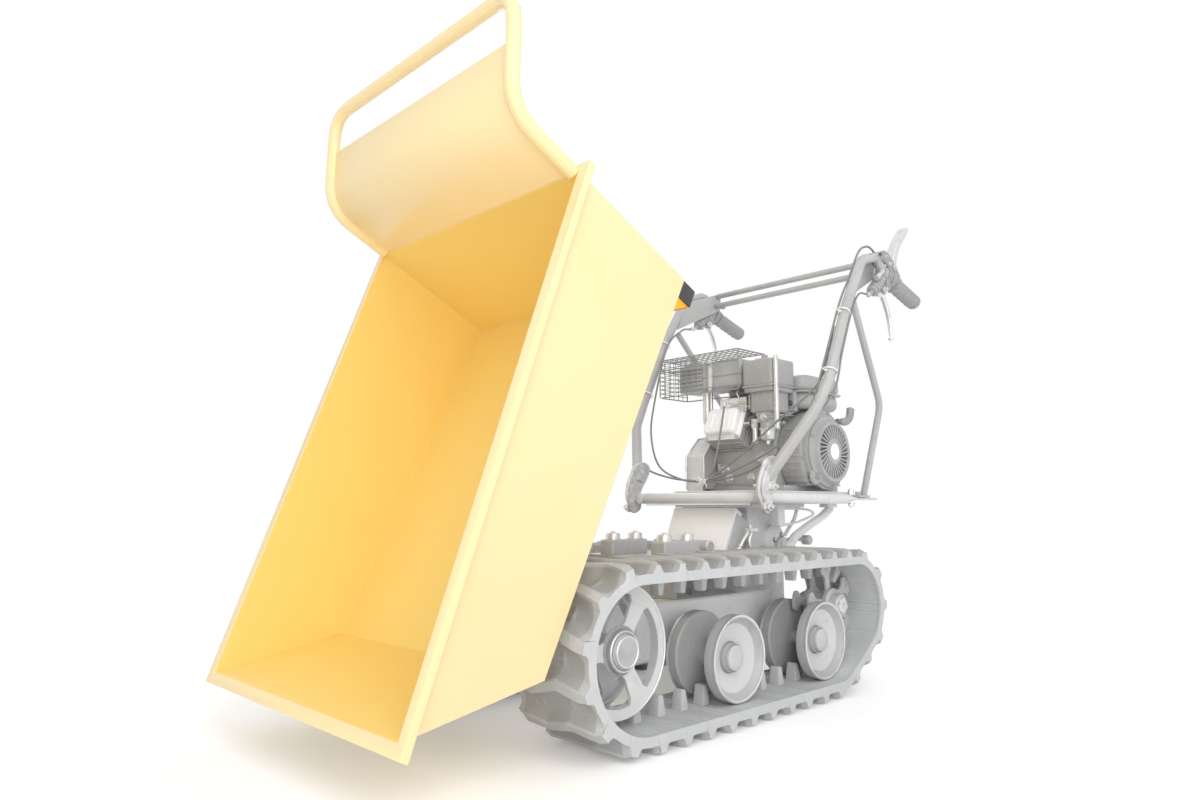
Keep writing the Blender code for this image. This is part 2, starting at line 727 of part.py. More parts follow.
def between(links):
    """A spot between two sampled ones."""
    place = links * BELT_STEPS
    k = int(place) % len(LINE)
    t = place - int(place)
    (p, n), (q, m) = LINE[k], LINE[(k + 1) % len(LINE)]
    blend = [n[i] * (1 - t) + m[i] * t for i in (0, 1)]
    size = hypot(*blend)
    return ((p[0] * (1 - t) + q[0] * t, p[1] * (1 - t) + q[1] * t), (blend[0] / size, blend[1] / size))


def at_wheel(side, offset_x):
    """X of a plane that lies offset_x outwards of a track's centre line."""
    return (TRACK_CENTRE + offset_x) * side


def roller(name, side, y, core):
    """Double roller: two dished rims on one hub, with a cap over the end of its axle."""
    half, width, dish = WHEEL_OUTER, ROLLER_WIDTH, ROLLER_DISH
    rim, edge = ROLLER_RADIUS - ROLLER_RIM, ROLLER_RADIUS
    bore = AXLE_RADIUS + GAP
    cap = half - dish * 0.35
    web = half - dish
    inner = half - width
    profile = [
        (cap, 0.0), (cap, ROLLER_CAP), (web, ROLLER_CAP + 0.002), (web, rim - 0.006), (half, rim),
        (half, edge),
        (inner, edge), (inner, core), (-inner, core), (-inner, edge), (-half, edge),
        (-half, rim), (-web, rim - 0.006), (-web, ROLLER_CAP + 0.002), (-half, ROLLER_CAP), (-half, bore),
        (cap - ROLLER_END, bore), (cap - ROLLER_END, 0.0),
    ]
    made = turned(name, profile, (TRACK_CENTRE * side, y, ROLLER_Z), "grey_steel")
    if side < 0:
        made.rotation_euler = (0.0, -pi / 2, 0.0)
    return made


def window(first, last, inner, outer):
    """Outline of a gap between two spokes, by angles in degrees."""
    return arc((0.0, 0.0), outer, first, last, 6) + arc((0.0, 0.0), inner, last - 8, first + 8, 3)


def local_plate(name, outlines, x0, x1, place, finish=None):
    """A flat outline about a wheel's own centre."""
    mesh = curve_mesh(name, outlines, True, depth=abs(x1 - x0))
    return add(name, mesh, finish, None, ((x0 + x1) / 2, place[0], place[1]), SIDEWAYS)


def idler(name, side):
    """Front wheel: two three-spoke discs on a barrel, with a hub cap."""
    place = (IDLER_Y, IDLER_Z)
    step = 360 / SPOKES
    gaps = [window(67 + step * i + 13, 67 + step * (i + 1) - 13, IDLER_HUB + 0.008, IDLER_RADIUS - IDLER_RIM)
            for i in range(SPOKES)]
    ring = arc((0.0, 0.0), IDLER_RADIUS, 0, 348, 29)
    eye = arc((0.0, 0.0), (IDLER_BARREL + AXLE_RADIUS) / 2, 0, 315, 7)
    discs = []
    for where in (IDLER_DISC_OFFSET, -IDLER_DISC_OFFSET):
        x = at_wheel(side, where)
        discs.append(local_plate(name + "_disc", [ring, eye, *gaps], x - IDLER_DISC / 2,
                                 x + IDLER_DISC / 2, place))
    half = WHEEL_OUTER - 0.004
    bore = AXLE_RADIUS + GAP
    profile = [(half, 0.0), (half, IDLER_CAP - 0.003), (half - 0.003, IDLER_CAP), (half - 0.014, IDLER_CAP),
               (half - 0.014, IDLER_HUB), (half - 0.026, IDLER_HUB), (half - 0.026, IDLER_BARREL),
               (-half, IDLER_BARREL), (-half, bore), (half - 0.006, bore), (half - 0.006, 0.0)]
    hub = turned(name, profile, (TRACK_CENTRE * side, *place), "grey_steel", None, 16)
    if side < 0:
        hub.rotation_euler = (0.0, -pi / 2, 0.0)
    baked(hub)
    return join(hub, *discs)


def star_outline():
    """Five arms with paddle-shaped ends about a round hub."""
    outline = []
    for arm in range(STAR_ARMS):
        middle = 360 * arm / STAR_ARMS + 28
        for turn, radius in ((-30, 0.031), (-13, 0.036), (-8, 0.058), (-15, 0.071),
                             (-13, STAR_RADIUS - 0.002), (0, STAR_RADIUS), (13, STAR_RADIUS - 0.002),
                             (15, 0.071), (8, 0.058), (13, 0.036)):
            spot = radians(middle + turn)
            outline.append((radius * cos(spot), radius * sin(spot)))
    return outline


def sprocket(name, side):
    """Rear drive wheel: two stars on a hub, with the shaft that drives it."""
    place = (SPROCKET_Y, SPROCKET_Z)
    shaft_end = BEAM_CENTRE - BEAM_WIDTH / 2 - TRACK_CENTRE
    stars = []
    for where in (STAR_OFFSET, -STAR_OFFSET):
        x = at_wheel(side, where)
        stars.append(local_plate(name + "_star", [star_outline()], x - STAR_DISC / 2, x + STAR_DISC / 2,
                                 place))
    profile = [(0.052, 0.0), (0.052, 0.009), (0.048, 0.009), (0.048, 0.015), (0.036, STAR_HUB),
               (-0.036, STAR_HUB), (-0.036, SHAFT_RADIUS), (shaft_end, SHAFT_RADIUS), (shaft_end, 0.0)]
    hub = turned(name, profile, (TRACK_CENTRE * side, *place), "cast_metal", None, 16)
    if side < 0:
        hub.rotation_euler = (0.0, -pi / 2, 0.0)
    baked(hub)
    return join(hub, *stars)


# Chassis

def chassis_beam(label, side):
    """Side beam with the three stub axles that carry the wheels of one track."""
    x0, x1 = side * (BEAM_CENTRE - BEAM_WIDTH / 2), side * (BEAM_CENTRE + BEAM_WIDTH / 2)
    beam = block("chassis_beam_" + label, (min(x0, x1), BEAM_FRONT, BEAM_BOTTOM),
                 (max(x0, x1), BEAM_REAR, BEAM_TOP), "dark_steel", None, 0.004)
    wall = 0.005
    hollow = block("beam_hollow_" + label, (min(x0, x1) + wall, BEAM_FRONT - 0.01, BEAM_BOTTOM + wall),
                   (max(x0, x1) - wall, BEAM_REAR + 0.01, BEAM_TOP - wall))
    cut(beam, hollow)
    inner_end = x1 - side * 0.030
    ends = [(IDLER_Y, IDLER_Z, WHEEL_OUTER - 0.011)]
    ends += [(y, ROLLER_Z, WHEEL_OUTER - ROLLER_DISH * 0.35 - 0.006) for y in ROLLER_YS]
    for n, (y, z, reach) in enumerate(ends):
        stub = axle(f"stub_axle_{label}_{n}", inner_end, at_wheel(side, reach), y, z, AXLE_RADIUS, sides=12)
        shoulder = axle(f"axle_shoulder_{label}_{n}", x1 - side * 0.003,
                        at_wheel(side, -WHEEL_OUTER - GAP * 3), y, z, AXLE_RADIUS + 0.007, sides=12)
        join(beam, stub, shoulder)
    return beam


def front_cross_member():
    """Cross member between the beams, with the two upright plates that hold the hinge pin."""
    inner = BEAM_CENTRE - BEAM_WIDTH / 2 - GAP
    y0, y1 = HINGE_Y - CROSS_DEPTH / 2, HINGE_Y + CROSS_DEPTH / 2
    member = block("front_cross_member", (-inner, y0, BEAM_TOP - CROSS_DEPTH), (inner, y1, BEAM_TOP),
                   "dark_steel", None, 0.003)
    for label, side in SIDES:
        x = side * (LUG_HALF_SPREAD + GAP * 3 + BRACKET_THICKNESS / 2)
        outline = [(y0 + 0.004, BEAM_TOP - 0.010), (y1 - 0.004, BEAM_TOP - 0.010)]
        outline += arc((HINGE_Y, HINGE_Z), 0.020, 0, 180, 8)
        join(member, plate("hinge_plate_" + label, [outline], x - BRACKET_THICKNESS / 2,
                           x + BRACKET_THICKNESS / 2))
    cut(member, axle("pin_hole", -0.1, 0.1, HINGE_Y, HINGE_Z, PIN_RADIUS + GAP, sides=16))
    return member


def hinge_pin():
    """Pin that the skip turns on, with a head at each end."""
    half = LUG_HALF_SPREAD + BRACKET_THICKNESS + GAP * 5
    profile = [(half + PIN_HEAD, 0.0), (half + PIN_HEAD, PIN_HEAD_RADIUS), (half, PIN_HEAD_RADIUS),
               (half, PIN_RADIUS), (-half, PIN_RADIUS), (-half, PIN_HEAD_RADIUS),
               (-half - PIN_HEAD, PIN_HEAD_RADIUS), (-half - PIN_HEAD, 0.0)]
    return turned("hinge_pin", profile, (0.0, HINGE_Y, HINGE_Z), "bright_steel", None, 16)


def bridge_channel():
    """Folded channel over the beams, with clamp blocks, bolts and the rest rod for the skip's bearer."""
    foot = BEAM_TOP + GAP
    outline = [(BRIDGE_FRONT, foot), (BRIDGE_FRONT + BRIDGE_SHEET, foot),
               (BRIDGE_FRONT + BRIDGE_SHEET, BRIDGE_TOP - BRIDGE_SHEET),
               (BRIDGE_REAR - BRIDGE_SHEET, BRIDGE_TOP - BRIDGE_SHEET), (BRIDGE_REAR - BRIDGE_SHEET, foot),
               (BRIDGE_REAR, foot), (BRIDGE_REAR, BRIDGE_TOP), (BRIDGE_FRONT, BRIDGE_TOP)]
    bridge = plate("bridge_channel", [outline], -BRIDGE_HALF_WIDTH, BRIDGE_HALF_WIDTH, "dark_steel")
    for label, side in SIDES:
        x = side * BLOCK_X
        top = BRIDGE_TOP + BLOCK_HEIGHT
        join(bridge, block("clamp_block_" + label, (x - BLOCK_HALF_WIDTH, BLOCK_FRONT, BRIDGE_TOP - 0.002),
                           (x + BLOCK_HALF_WIDTH, BLOCK_FRONT + BLOCK_LENGTH, top), None, None, 0.003))
        for n in (-0.5, 0.5):
            y = BLOCK_FRONT + BLOCK_LENGTH / 2 + n * BOLT_SPACING
            join(bridge, rod(f"cap_bolt_{label}_{n}", (x, y, top - 0.002), (x, y, top + BOLT_HEAD), 0.010,
                             sides=6))
        bracket = [(REST_Y - 0.024, BRIDGE_TOP - 0.002), (REST_Y + 0.020, BRIDGE_TOP - 0.002)]
        bracket += arc((REST_Y, REST_Z), REST_RADIUS - 0.003, 0, 180, 6)
        x = side * (REST_HALF_WIDTH - 0.016)
        join(bridge, plate("rest_bracket_" + label, [bracket], x - 0.002, x + 0.002))
    return join(bridge, axle("rest_rod", -REST_HALF_WIDTH, REST_HALF_WIDTH, REST_Y, REST_Z, REST_RADIUS))


def front_panel():
    """Pale sloping panel in front of the gearbox, with its side edges bent to the rear."""
    top = (PANEL_TOP_Y, UNDER_PLATE_BOTTOM - GAP - PANEL_SHEET * 0.5)
    foot = (BRIDGE_REAR + 0.0045, BRIDGE_TOP - 0.010)
    fall = atan2(top[1] - foot[1], top[0] - foot[0])
    back = (cos(fall - pi / 2), sin(fall - pi / 2))
    work = bmesh.new()
    half, deep = PANEL_HALF_WIDTH, PANEL_FLANGE
    section = [(half - 0.004, deep), (half, 0.0), (-half, 0.0), (-half + 0.004, deep)]
    spots = [work.verts.new((x, foot[0] + back[0] * d, foot[1] + back[1] * d)) for x, d in section]
    edges = [work.edges.new(pair) for pair in zip(spots, spots[1:])]
    grown = bmesh.ops.extrude_edge_only(work, edges=edges)["geom"]
    bmesh.ops.translate(work, vec=(0.0, top[0] - foot[0], top[1] - foot[1]),
                        verts=[item for item in grown if isinstance(item, bmesh.types.BMVert)])
    for spot in work.verts:
        spot.co.z = min(spot.co.z, top[1])
    bmesh.ops.recalc_face_normals(work, faces=work.faces)
    made = add("front_panel", mesh_from("front_panel", work), "pale_panel")
    shell = made.modifiers.new("sheet", "SOLIDIFY")
    shell.thickness = PANEL_SHEET
    shell.offset = 1.0
    shell.use_even_offset = True
    return made


# Engine bed

def front_cross_tube():
    """Round tube across the front of the bed, between the side tubes' brackets."""
    half = BED_HALF_WIDTH - BED_TUBE - GAP
    return axle("front_cross_tube", -half, half, BED_FRONT, BED_HEIGHT, BED_TUBE, "grey_steel", None, 20)


def bed_side_tube(label, side):
    """Side tube of the bed, flattened at its rear end, where the brace is bolted."""
    x = side * BED_HALF_WIDTH
    work = bmesh.new()
    bmesh.ops.create_cone(work, cap_ends=True, segments=20, radius1=BED_TUBE, radius2=BED_TUBE, depth=1.0)
    bmesh.ops.rotate(work, cent=(0, 0, 0), matrix=Matrix.Rotation(-pi / 2, 3, "X"), verts=work.verts)
    round_length = BED_REAR - FLAT_LENGTH - FLATTENING
    front = BED_FRONT - BED_TUBE
    ends = {}
    for spot in work.verts:
        rear = spot.co.y > 0
        spot.co.y = round_length if rear else front
        ends[spot] = rear
    cap = [face for face in work.faces if all(ends[spot] for spot in face.verts)][0]
    for reach, wide, tall in ((FLATTENING, 1.25, FLAT_THICKNESS / BED_TUBE / 2), (FLAT_LENGTH, 1.0, 1.0)):
        grown = bmesh.ops.extrude_face_region(work, geom=[cap])["geom"]
        bmesh.ops.delete(work, geom=[cap], context="FACES_ONLY")
        cap = [item for item in grown if isinstance(item, bmesh.types.BMFace)][0]
        for spot in cap.verts:
            spot.co.x *= wide
            spot.co.z *= tall
            spot.co.y += reach
    bmesh.ops.recalc_face_normals(work, faces=work.faces)
    name = "bed_side_tube_" + label
    return add(name, mesh_from(name, work), "grey_steel", None, (x, 0.0, BED_HEIGHT))


def bed_plate():
    """Plate that the engine stands on, between the side tubes, open on the right for the drive belt."""
    left = BED_HALF_WIDTH - 0.0090
    plate_top = block("bed_plate", (-GUARD_MOUTH + 0.002, BED_FRONT + BED_TUBE + GAP, BED_PLATE_BOTTOM),
                      (left, CRANK_Y + 0.095, BED_PLATE_TOP), "dark_steel", None, 0.001)
    for y in (RAIL_FRONT, RAIL_REAR):
        half = BED_HALF_WIDTH - BED_TUBE - GAP
        rail = block("bed_rail", (-half, y - RAIL_WIDTH / 2, BED_PLATE_BOTTOM - RAIL_DEPTH),
                     (half, y + RAIL_WIDTH / 2, BED_PLATE_BOTTOM + 0.001))
        join(plate_top, rail)
    return plate_top


def gearbox():
    """Cast casing between the beams with a neck up to the bed, a dome and a round side cover."""
    inner = BEAM_CENTRE - BEAM_WIDTH / 2 - GAP
    casing = block("gearbox_casing", (-inner, 0.530, GEARBOX_Z - 0.182), (inner, 0.690, GEARBOX_Z - 0.038),
                   "dark_steel", None, 0.010)
    neck = block("gearbox_neck", (0.016 - CASE_HALF_WIDTH, 0.540, GEARBOX_Z - 0.050),
                 (0.090, 0.660, UNDER_PLATE_TOP - 0.001), None, None, 0.006)
    flange = block("gearbox_flange", (-inner, PANEL_TOP_Y - 0.006, UNDER_PLATE_BOTTOM),
                   (0.140, 0.690, UNDER_PLATE_TOP))
    dome = axle("gearbox_dome", 0.011 - CASE_HALF_WIDTH, DOME_FACE, GEARBOX_Y, GEARBOX_Z, 0.040, sides=20)
    cover = axle("gearbox_cover", DOME_FACE - 0.004, COVER_FACE, GEARBOX_Y + COVER_BACK,
                 GEARBOX_Z - COVER_DROP, 0.023, sides=16)
    return join(casing, neck, flange, dome, cover)


def rear_strut():
    """Bent dark bar from the bed's rear rail down to the gearbox's side cover."""
    x = COVER_FACE + GAP + STRUT_RADIUS
    top = BED_PLATE_BOTTOM - RAIL_DEPTH - GAP
    eye = (GEARBOX_Y + COVER_BACK, GEARBOX_Z - COVER_DROP)
    path = rounded([(x, RAIL_REAR + 0.020, top - 0.010), (x, RAIL_REAR - 0.020, top - 0.030),
                    (x, 0.720, GEARBOX_Z + 0.033), (x, 0.668, GEARBOX_Z + 0.012), (x, *eye)], 0.030, 3)
    strut = tube("rear_strut", path, STRUT_RADIUS, "dark_steel", None, 2)
    foot = block("strut_foot", (x - 0.012, RAIL_REAR - 0.010, top - 0.008),
                 (x + 0.012, RAIL_REAR + 0.032, top))
    eye_boss = axle("strut_eye", COVER_FACE + GAP, x + STRUT_RADIUS * 0.6, *eye, 0.016, sides=12)
    return join(strut, foot, eye_boss)


# Handlebars

def handlebar(label, side):
    """Bent tube from the bed up to the hand casting and the grip, with a gusset plate inside its top bend."""
    root, end = Vector(GRIP_ROOT), Vector(GRIP_END)
    way = (end - root).normalized()
    start = root - way * CASTING_LENGTH
    path = rounded([BAR_FOOT, BAR_SPREAD, BAR_KNEE, BAR_SHOULDER, BAR_CORNER, BAR_CREST,
                    start + way * 0.012], BAR_BEND, 2)
    bar = tube("handlebar_" + label, [mirrored(point, side) for point in path], BAR_RADIUS, "grey_steel",
               None, 3)
    gusset = plate("gusset_" + label, [TOP_PLATE], side * (TOP_PLATE_X - TOP_PLATE_THICKNESS / 2),
                   side * (TOP_PLATE_X + TOP_PLATE_THICKNESS / 2))
    for spot in gusset.data.vertices:
        spot.co.z -= side * TOP_PLATE_SPLAY * (spot.co.x - TOP_PLATE[0][0])
    join(bar, gusset)
    join(bar, rod("casting_" + label, mirrored(start, side), mirrored(root - way * GAP, side),
                  CASTING_RADIUS, sides=12))
    join(bar, rod("grip_tube_" + label, mirrored(start + way * 0.004, side),
                  mirrored(end - way * 0.008, side), GRIP_TUBE, sides=12))
    if side > 0:
        ear_x = PADDLE_PIVOT[0] - PADDLE_WIDTH / 2 - GAP
        ear = arc(PADDLE_PIVOT[1:], 0.009, -20, 200, 6)
        ear += [(PADDLE_PIVOT[1] - 0.012, root.z), (PADDLE_PIVOT[1] + 0.004, root.z)]
        join(bar, plate("paddle_ear", [ear], ear_x - PADDLE_THICKNESS, ear_x))
    else:
        seat = THROTTLE_PIVOT[2] - THROTTLE_DISC / 2 - GAP
        join(bar, rod("throttle_seat", (*THROTTLE_PIVOT[:2], root.z), (*THROTTLE_PIVOT[:2], seat), 0.009,
                      sides=12))
    pivot = Vector(LEVER_PIVOT)
    faces = sorted((side * (pivot.x - 0.011), side * (pivot.x - 0.005)))
    return join(bar, block("lever_lug_" + label, (faces[0], pivot.y - 0.008, pivot.z - 0.010),
                           (faces[1], pivot.y + 0.014, start.z + 0.004)))


def grip(label, side):
    """Rubber grip with a flange, over the end of the handlebar's tube."""
    root, end = Vector(mirrored(GRIP_ROOT, side)), Vector(mirrored(GRIP_END, side))
    way = (end - root).normalized()
    length = (end - root).length
    bore = GRIP_TUBE + GAP
    floor = length - GRIP_WALL
    profile = [(length, 0.0), (length, 0.010), (length - 0.004, GRIP_RADIUS - 0.004),
               (length - 0.012, GRIP_RADIUS - 0.001), (0.012, GRIP_RADIUS - 0.002),
               (0.006, GRIP_RADIUS + 0.0015), (0.0, GRIP_RADIUS), (0.0, bore), (floor, bore), (floor, 0.0)]
    made = turned("grip_" + label, profile, root, "rubber", None, 16)
    made.rotation_euler = way.to_track_quat("Z", "Y").to_euler()
    return made


def root_bracket(label, side):
    """Galvanised clamp that holds the handlebar's foot on the bed's side tube, with its bolts."""
    lower = BED_HALF_WIDTH + BED_TUBE + GAP
    cheek_top = BED_HEIGHT + BED_TUBE + 0.036
    lean = (BAR_SPREAD[0] - BAR_FOOT[0]) / (BAR_SPREAD[2] - BAR_FOOT[2])
    upper = BAR_FOOT[0] + lean * (cheek_top - BAR_FOOT[2]) + BAR_RADIUS * hypot(1.0, lean) + GAP
    outer = upper + BRACKET_PLATE
    level = BED_HEIGHT + BED_TUBE
    low_line = [(0.440, level - 0.044), (0.478, level - 0.046), (0.500, level - 0.024),
                (0.508, level + 0.012), (0.446, level + 0.012), (0.436, level - 0.014)]
    high_line = [(0.446, level - 0.006), (0.508, level - 0.006), (0.512, level + 0.024), (0.502, cheek_top),
                 (0.464, cheek_top), (0.450, level + 0.022)]
    web = [(0.446, level - 0.004), (0.508, level - 0.004), (0.508, level + 0.012), (0.446, level + 0.012)]
    lower_face = lower + BRACKET_PLATE
    bracket = plate("root_bracket_" + label, [low_line], side * lower, side * lower_face, "bright_steel")
    join(bracket, plate("clamp_cheek_" + label, [high_line], side * upper, side * outer),
         plate("clamp_web_" + label, [web], side * (lower + 0.001), side * (outer - 0.001)))
    bolts = ((0.462, level - 0.026, lower_face), (0.492, level + 0.020, outer))
    for n, (y, z, face) in enumerate(bolts):
        join(bracket, axle(f"bracket_bolt_{label}_{n}", side * (face - 0.002), side * (face + 0.008), y, z,
                           0.0085, sides=6))
    return bracket


def brace(label, side):
    """Bent strut from the handlebar down to the flattened end of the side tube."""
    foot_x = BED_HALF_WIDTH + 0.004
    flat_top = BED_HEIGHT + FLAT_THICKNESS / 2
    path = rounded([BRACE_TOP, BRACE_KNEE, (foot_x, BRACE_FOOT_Y, flat_top + 0.010)], 0.07, 3)
    strut = tube("brace_" + label, [mirrored(point, side) for point in path], BRACE_RADIUS, "grey_steel",
                 None, 3)
    x = side * foot_x
    foot = block("brace_foot_" + label, (x - 0.011, BRACE_FOOT_Y - 0.042, flat_top + GAP),
                 (x + 0.011, BRACE_FOOT_Y + 0.012, flat_top + GAP + 0.005))
    bolt = rod("brace_bolt_" + label, (x, BRACE_FOOT_Y - 0.029, flat_top + 0.004),
               (x, BRACE_FOOT_Y - 0.029, flat_top + 0.014), 0.007, sides=6)
    ankle = rod("brace_ankle_" + label, (x, BRACE_FOOT_Y, flat_top + 0.003),
                (x, BRACE_FOOT_Y, flat_top + 0.016), BRACE_RADIUS * 0.95, sides=10)
    return join(strut, foot, bolt, ankle)


def cross_tube(name, y, z):
    """Tube between the gusset plates of the handlebars."""
    inner = TOP_PLATE_X - TOP_PLATE_THICKNESS / 2 - TOP_PLATE_SPLAY * (y - TOP_PLATE[0][0])
    half = inner - TOP_PLATE_SPLAY * CROSS_TUBE_RADIUS - GAP
    return axle(name, -half, half, y, z, CROSS_TUBE_RADIUS, "grey_steel", None, 12)


def steering_lever(label, side):
    """Curved lever under a grip, turning on a lug of the casting."""
    pivot = Vector(LEVER_PIVOT)
    hub = empty("steering_lever_axis_" + label, mirrored(pivot, side), MACHINE)
    path = [(0.0, 0.0), (0.030, -0.030), (0.048, -0.065), (0.053, -0.108)]
    route = smooth_route([(0.0, y, z) for y, z in path], 0.014)
    lever = tube("steering_lever_" + label, route, 0.0048, "bright_steel", hub, 2)
    ball = rod("lever_ball_" + label, (0.0, 0.0525, -0.104), (0.0, 0.0540, -0.120), 0.0075, None, hub, 10)
    boss = axle("lever_boss_" + label, -0.0047 * side, 0.006 * side, 0.0, 0.0, 0.009, None, hub, 12)
    return join(lever, ball, boss)


def clutch_paddle():
    """Flat hand lever that stands over the left grip and is pressed down to drive."""
    hub = empty("clutch_paddle_axis", PADDLE_PIVOT, MACHINE)
    outline = [(-0.010, -0.006), (0.006, -0.008), (0.020, 0.010), (0.034, 0.050), (0.060, 0.078),
               (0.100, 0.118), (0.092, 0.128), (0.052, 0.094), (0.022, 0.060), (0.006, 0.022)]
    return plate("clutch_paddle", [outline], -PADDLE_WIDTH / 2, PADDLE_WIDTH / 2, "grey_steel", hub)


def throttle_lever():
    """Small thumb lever on the right casting."""
    hub = empty("throttle_lever_axis", THROTTLE_PIVOT, MACHINE)
    half = THROTTLE_DISC / 2
    lever = rod("throttle_lever", (0.0, 0.0, -half), (0.0, 0.0, half), 0.011, "dark_plastic", hub, 14)
    arm = block("throttle_thumb", (-0.007, 0.004, -0.002), (0.007, 0.046, 0.0045), None, hub, 0.0015)
    return join(lever, arm)


# Engine

def engine_block():
    """Crankcase with the inclined, finned cylinder and its head."""
    base = BED_PLATE_TOP + GAP
    half = CASE_HALF_WIDTH
    outline = [(0.652, base), (0.868, base), (0.868, CRANK_Z - 0.042), (0.850, CRANK_Z + 0.048),
               (0.800, CRANK_Z + 0.094), (0.700, CRANK_Z + 0.094), (0.652, CRANK_Z + 0.028)]
    body = plate("engine_block", [outline], -half, half, "cast_metal")
    foot = block("engine_foot", (-half, 0.640, base), (BLOWER_INNER + 0.0315, 0.880, base + 0.014))
    join(body, foot)
    axis = Vector((0.0, -cos(CYLINDER_TILT), sin(CYLINDER_TILT)))
    centre = Vector((ROCKER_X, CRANK_Y, CRANK_Z - 0.004))
    for n in range(6):
        spot = centre + axis * (0.098 + 0.0105 * n)
        half_fin = HEAD_HALF_WIDTH - 0.002
        fin = block(f"fin_{n}", (-half_fin, -0.0028, -0.043), (half_fin, 0.0028, 0.043))
        fin.location = spot
        fin.rotation_euler = (-CYLINDER_TILT, 0.0, 0.0)
        join(body, fin)
    core = rod("cylinder", centre + axis * 0.05, centre + axis * 0.160, 0.037, sides=18)
    head = block("head", (-HEAD_HALF_WIDTH, -0.007, -0.040), (HEAD_HALF_WIDTH, 0.007, 0.040))
    head.location = centre + axis * 0.161
    head.rotation_euler = (-CYLINDER_TILT, 0.0, 0.0)
    return join(body, core, head)


def rocker_cover():
    """Pale cast cover on the cylinder head."""
    axis = Vector((0.0, -cos(CYLINDER_TILT), sin(CYLINDER_TILT)))
    spot = Vector((ROCKER_X, CRANK_Y, CRANK_Z - 0.004)) + axis * (0.168 + GAP * 2 + 0.014)
    cover = block("rocker_cover", (-0.050, -0.014, -0.038), (0.050, 0.014, 0.038), "pale_panel", None, 0.006)
    cover.location = spot
    cover.rotation_euler = (-CYLINDER_TILT, 0.0, 0.0)
    return cover


def blower_housing():
    """Shroud round the flywheel on the left of the engine."""
    ring = arc((CRANK_Y, CRANK_Z), BLOWER_RADIUS, -48, 228, 24)
    base = BED_PLATE_TOP + GAP
    outline = ring + [(CRANK_Y - 0.080, base + 0.014), (CRANK_Y + 0.080, base + 0.014)]
    shroud = plate("blower_housing", [outline], BLOWER_INNER, BLOWER_OUTER, "dark_plastic")
    return join(shroud, axle("blower_step", BLOWER_OUTER - 0.002, BLOWER_OUTER + 0.010, CRANK_Y, CRANK_Z,
                             0.092, sides=24))


def recoil_cover():
    """Round starter cover with a stepped face."""
    inner = BLOWER_OUTER + 0.010 + GAP
    profile = [(RECOIL_OUTER - 0.004, 0.0), (RECOIL_OUTER - 0.004, 0.026), (RECOIL_OUTER, 0.030),
               (RECOIL_OUTER, RECOIL_RADIUS - 0.010), (RECOIL_OUTER - 0.008, RECOIL_RADIUS),
               (inner + 0.006, RECOIL_STEP), (inner, RECOIL_STEP), (inner, 0.0)]
    cover = turned("recoil_cover", profile, (0.0, CRANK_Y, CRANK_Z), "dark_plastic", None, 24)
    baked(cover)
    lug = block("rope_outlet", (inner, ROPE_EXIT.y - 0.016, CRANK_Z + 0.052),
                (inner + 0.018, ROPE_EXIT.y + 0.014, ROPE_EXIT.z - GAP), None, None, 0.002)
    return join(cover, lug)


def recoil_handle():
    """Curved pull handle of the starter."""
    hub = empty("recoil_handle_axis", ROPE_EXIT, MACHINE)
    path = [(-0.024, 0.0115), (-0.006, 0.014), (0.012, 0.018), (0.024, 0.028), (0.030, 0.044)]
    route = smooth_route([(0.0, y, z) for y, z in path], 0.014)
    handle = tube("recoil_handle", route, 0.0075, "dark_plastic", hub, 2)
    return join(handle, rod("rope_stub", (0.0, 0.0, 0.0), (0.0, 0.0, 0.014), 0.004, None, hub, 8))


def fuel_tank():
    """Tank behind the air cleaner, with a seam flange round its middle and a neck."""
    low, high = TANK_BOX
    tank = block("fuel_tank", low, high, "dark_plastic", None, 0.014)
    middle = low[2] + 0.042
    flange = block("tank_flange", (low[0] - 0.007, low[1] + 0.003, middle - 0.002),
                   (high[0] + 0.007, high[1] + 0.007, middle + 0.002))
    legs = block("tank_leg", (-0.060, low[1] + 0.020, CRANK_Z + 0.0945),
                 (0.060, high[1] - 0.090, low[2] + 0.010))
    neck = rod("tank_neck", (CAP_X, CAP_Y, high[2] - 0.004), (CAP_X, CAP_Y, high[2] + 0.006), 0.022, sides=24)
    hollow = rod("neck_bore", (CAP_X, CAP_Y, high[2] - 0.030), (CAP_X, CAP_Y, high[2] + 0.010), 0.0175,
                 sides=20)
    return cut(join(tank, flange, legs, neck), hollow)


def fuel_cap():
    """Screw cap over the tank's neck."""
    z = TANK_BOX[1][2] + 0.006 + GAP
    cap = rod("fuel_cap", (CAP_X, CAP_Y, z), (CAP_X, CAP_Y, z + 0.014), 0.027, "dark_plastic", None, 18,
              0.024)
    return join(cap, rod("cap_plug", (CAP_X, CAP_Y, z - 0.012), (CAP_X, CAP_Y, z + 0.002), 0.0168, sides=18))


def air_cleaner():
    """Box-shaped air cleaner on its base, with a seam rib and the wing nut on top."""
    low, high = AIR_BOX
    box = block("air_cleaner", low, high, "dark_plastic", None, 0.009)
    base = block("air_base", (low[0] + 0.016, low[1] + 0.012, CRANK_Z + 0.092),
                 (high[0] - 0.010, high[1] - 0.030, low[2] + 0.004))
    rib = block("air_rib", (low[0] - 0.003, low[1] - 0.003, low[2] + 0.010),
                (high[0] + 0.003, high[1] + 0.001, low[2] + 0.016))
    nut = rod("wing_nut", (0.085, 0.622, high[2] - 0.002), (0.085, 0.622, high[2] + 0.010), 0.008, sides=8)
    return join(box, base, rib, nut)


def clamp_rod():
    """Bright upright rod at the corner of the air cleaner."""
    low, high = AIR_BOX
    x, y = high[0] + 0.0065, low[1] + 0.006
    return block("clamp_rod", (x - 0.003, y - 0.005, CRANK_Z + 0.048),
                 (x + 0.003, y + 0.005, high[2] + 0.004), "bright_steel", None, 0.001)


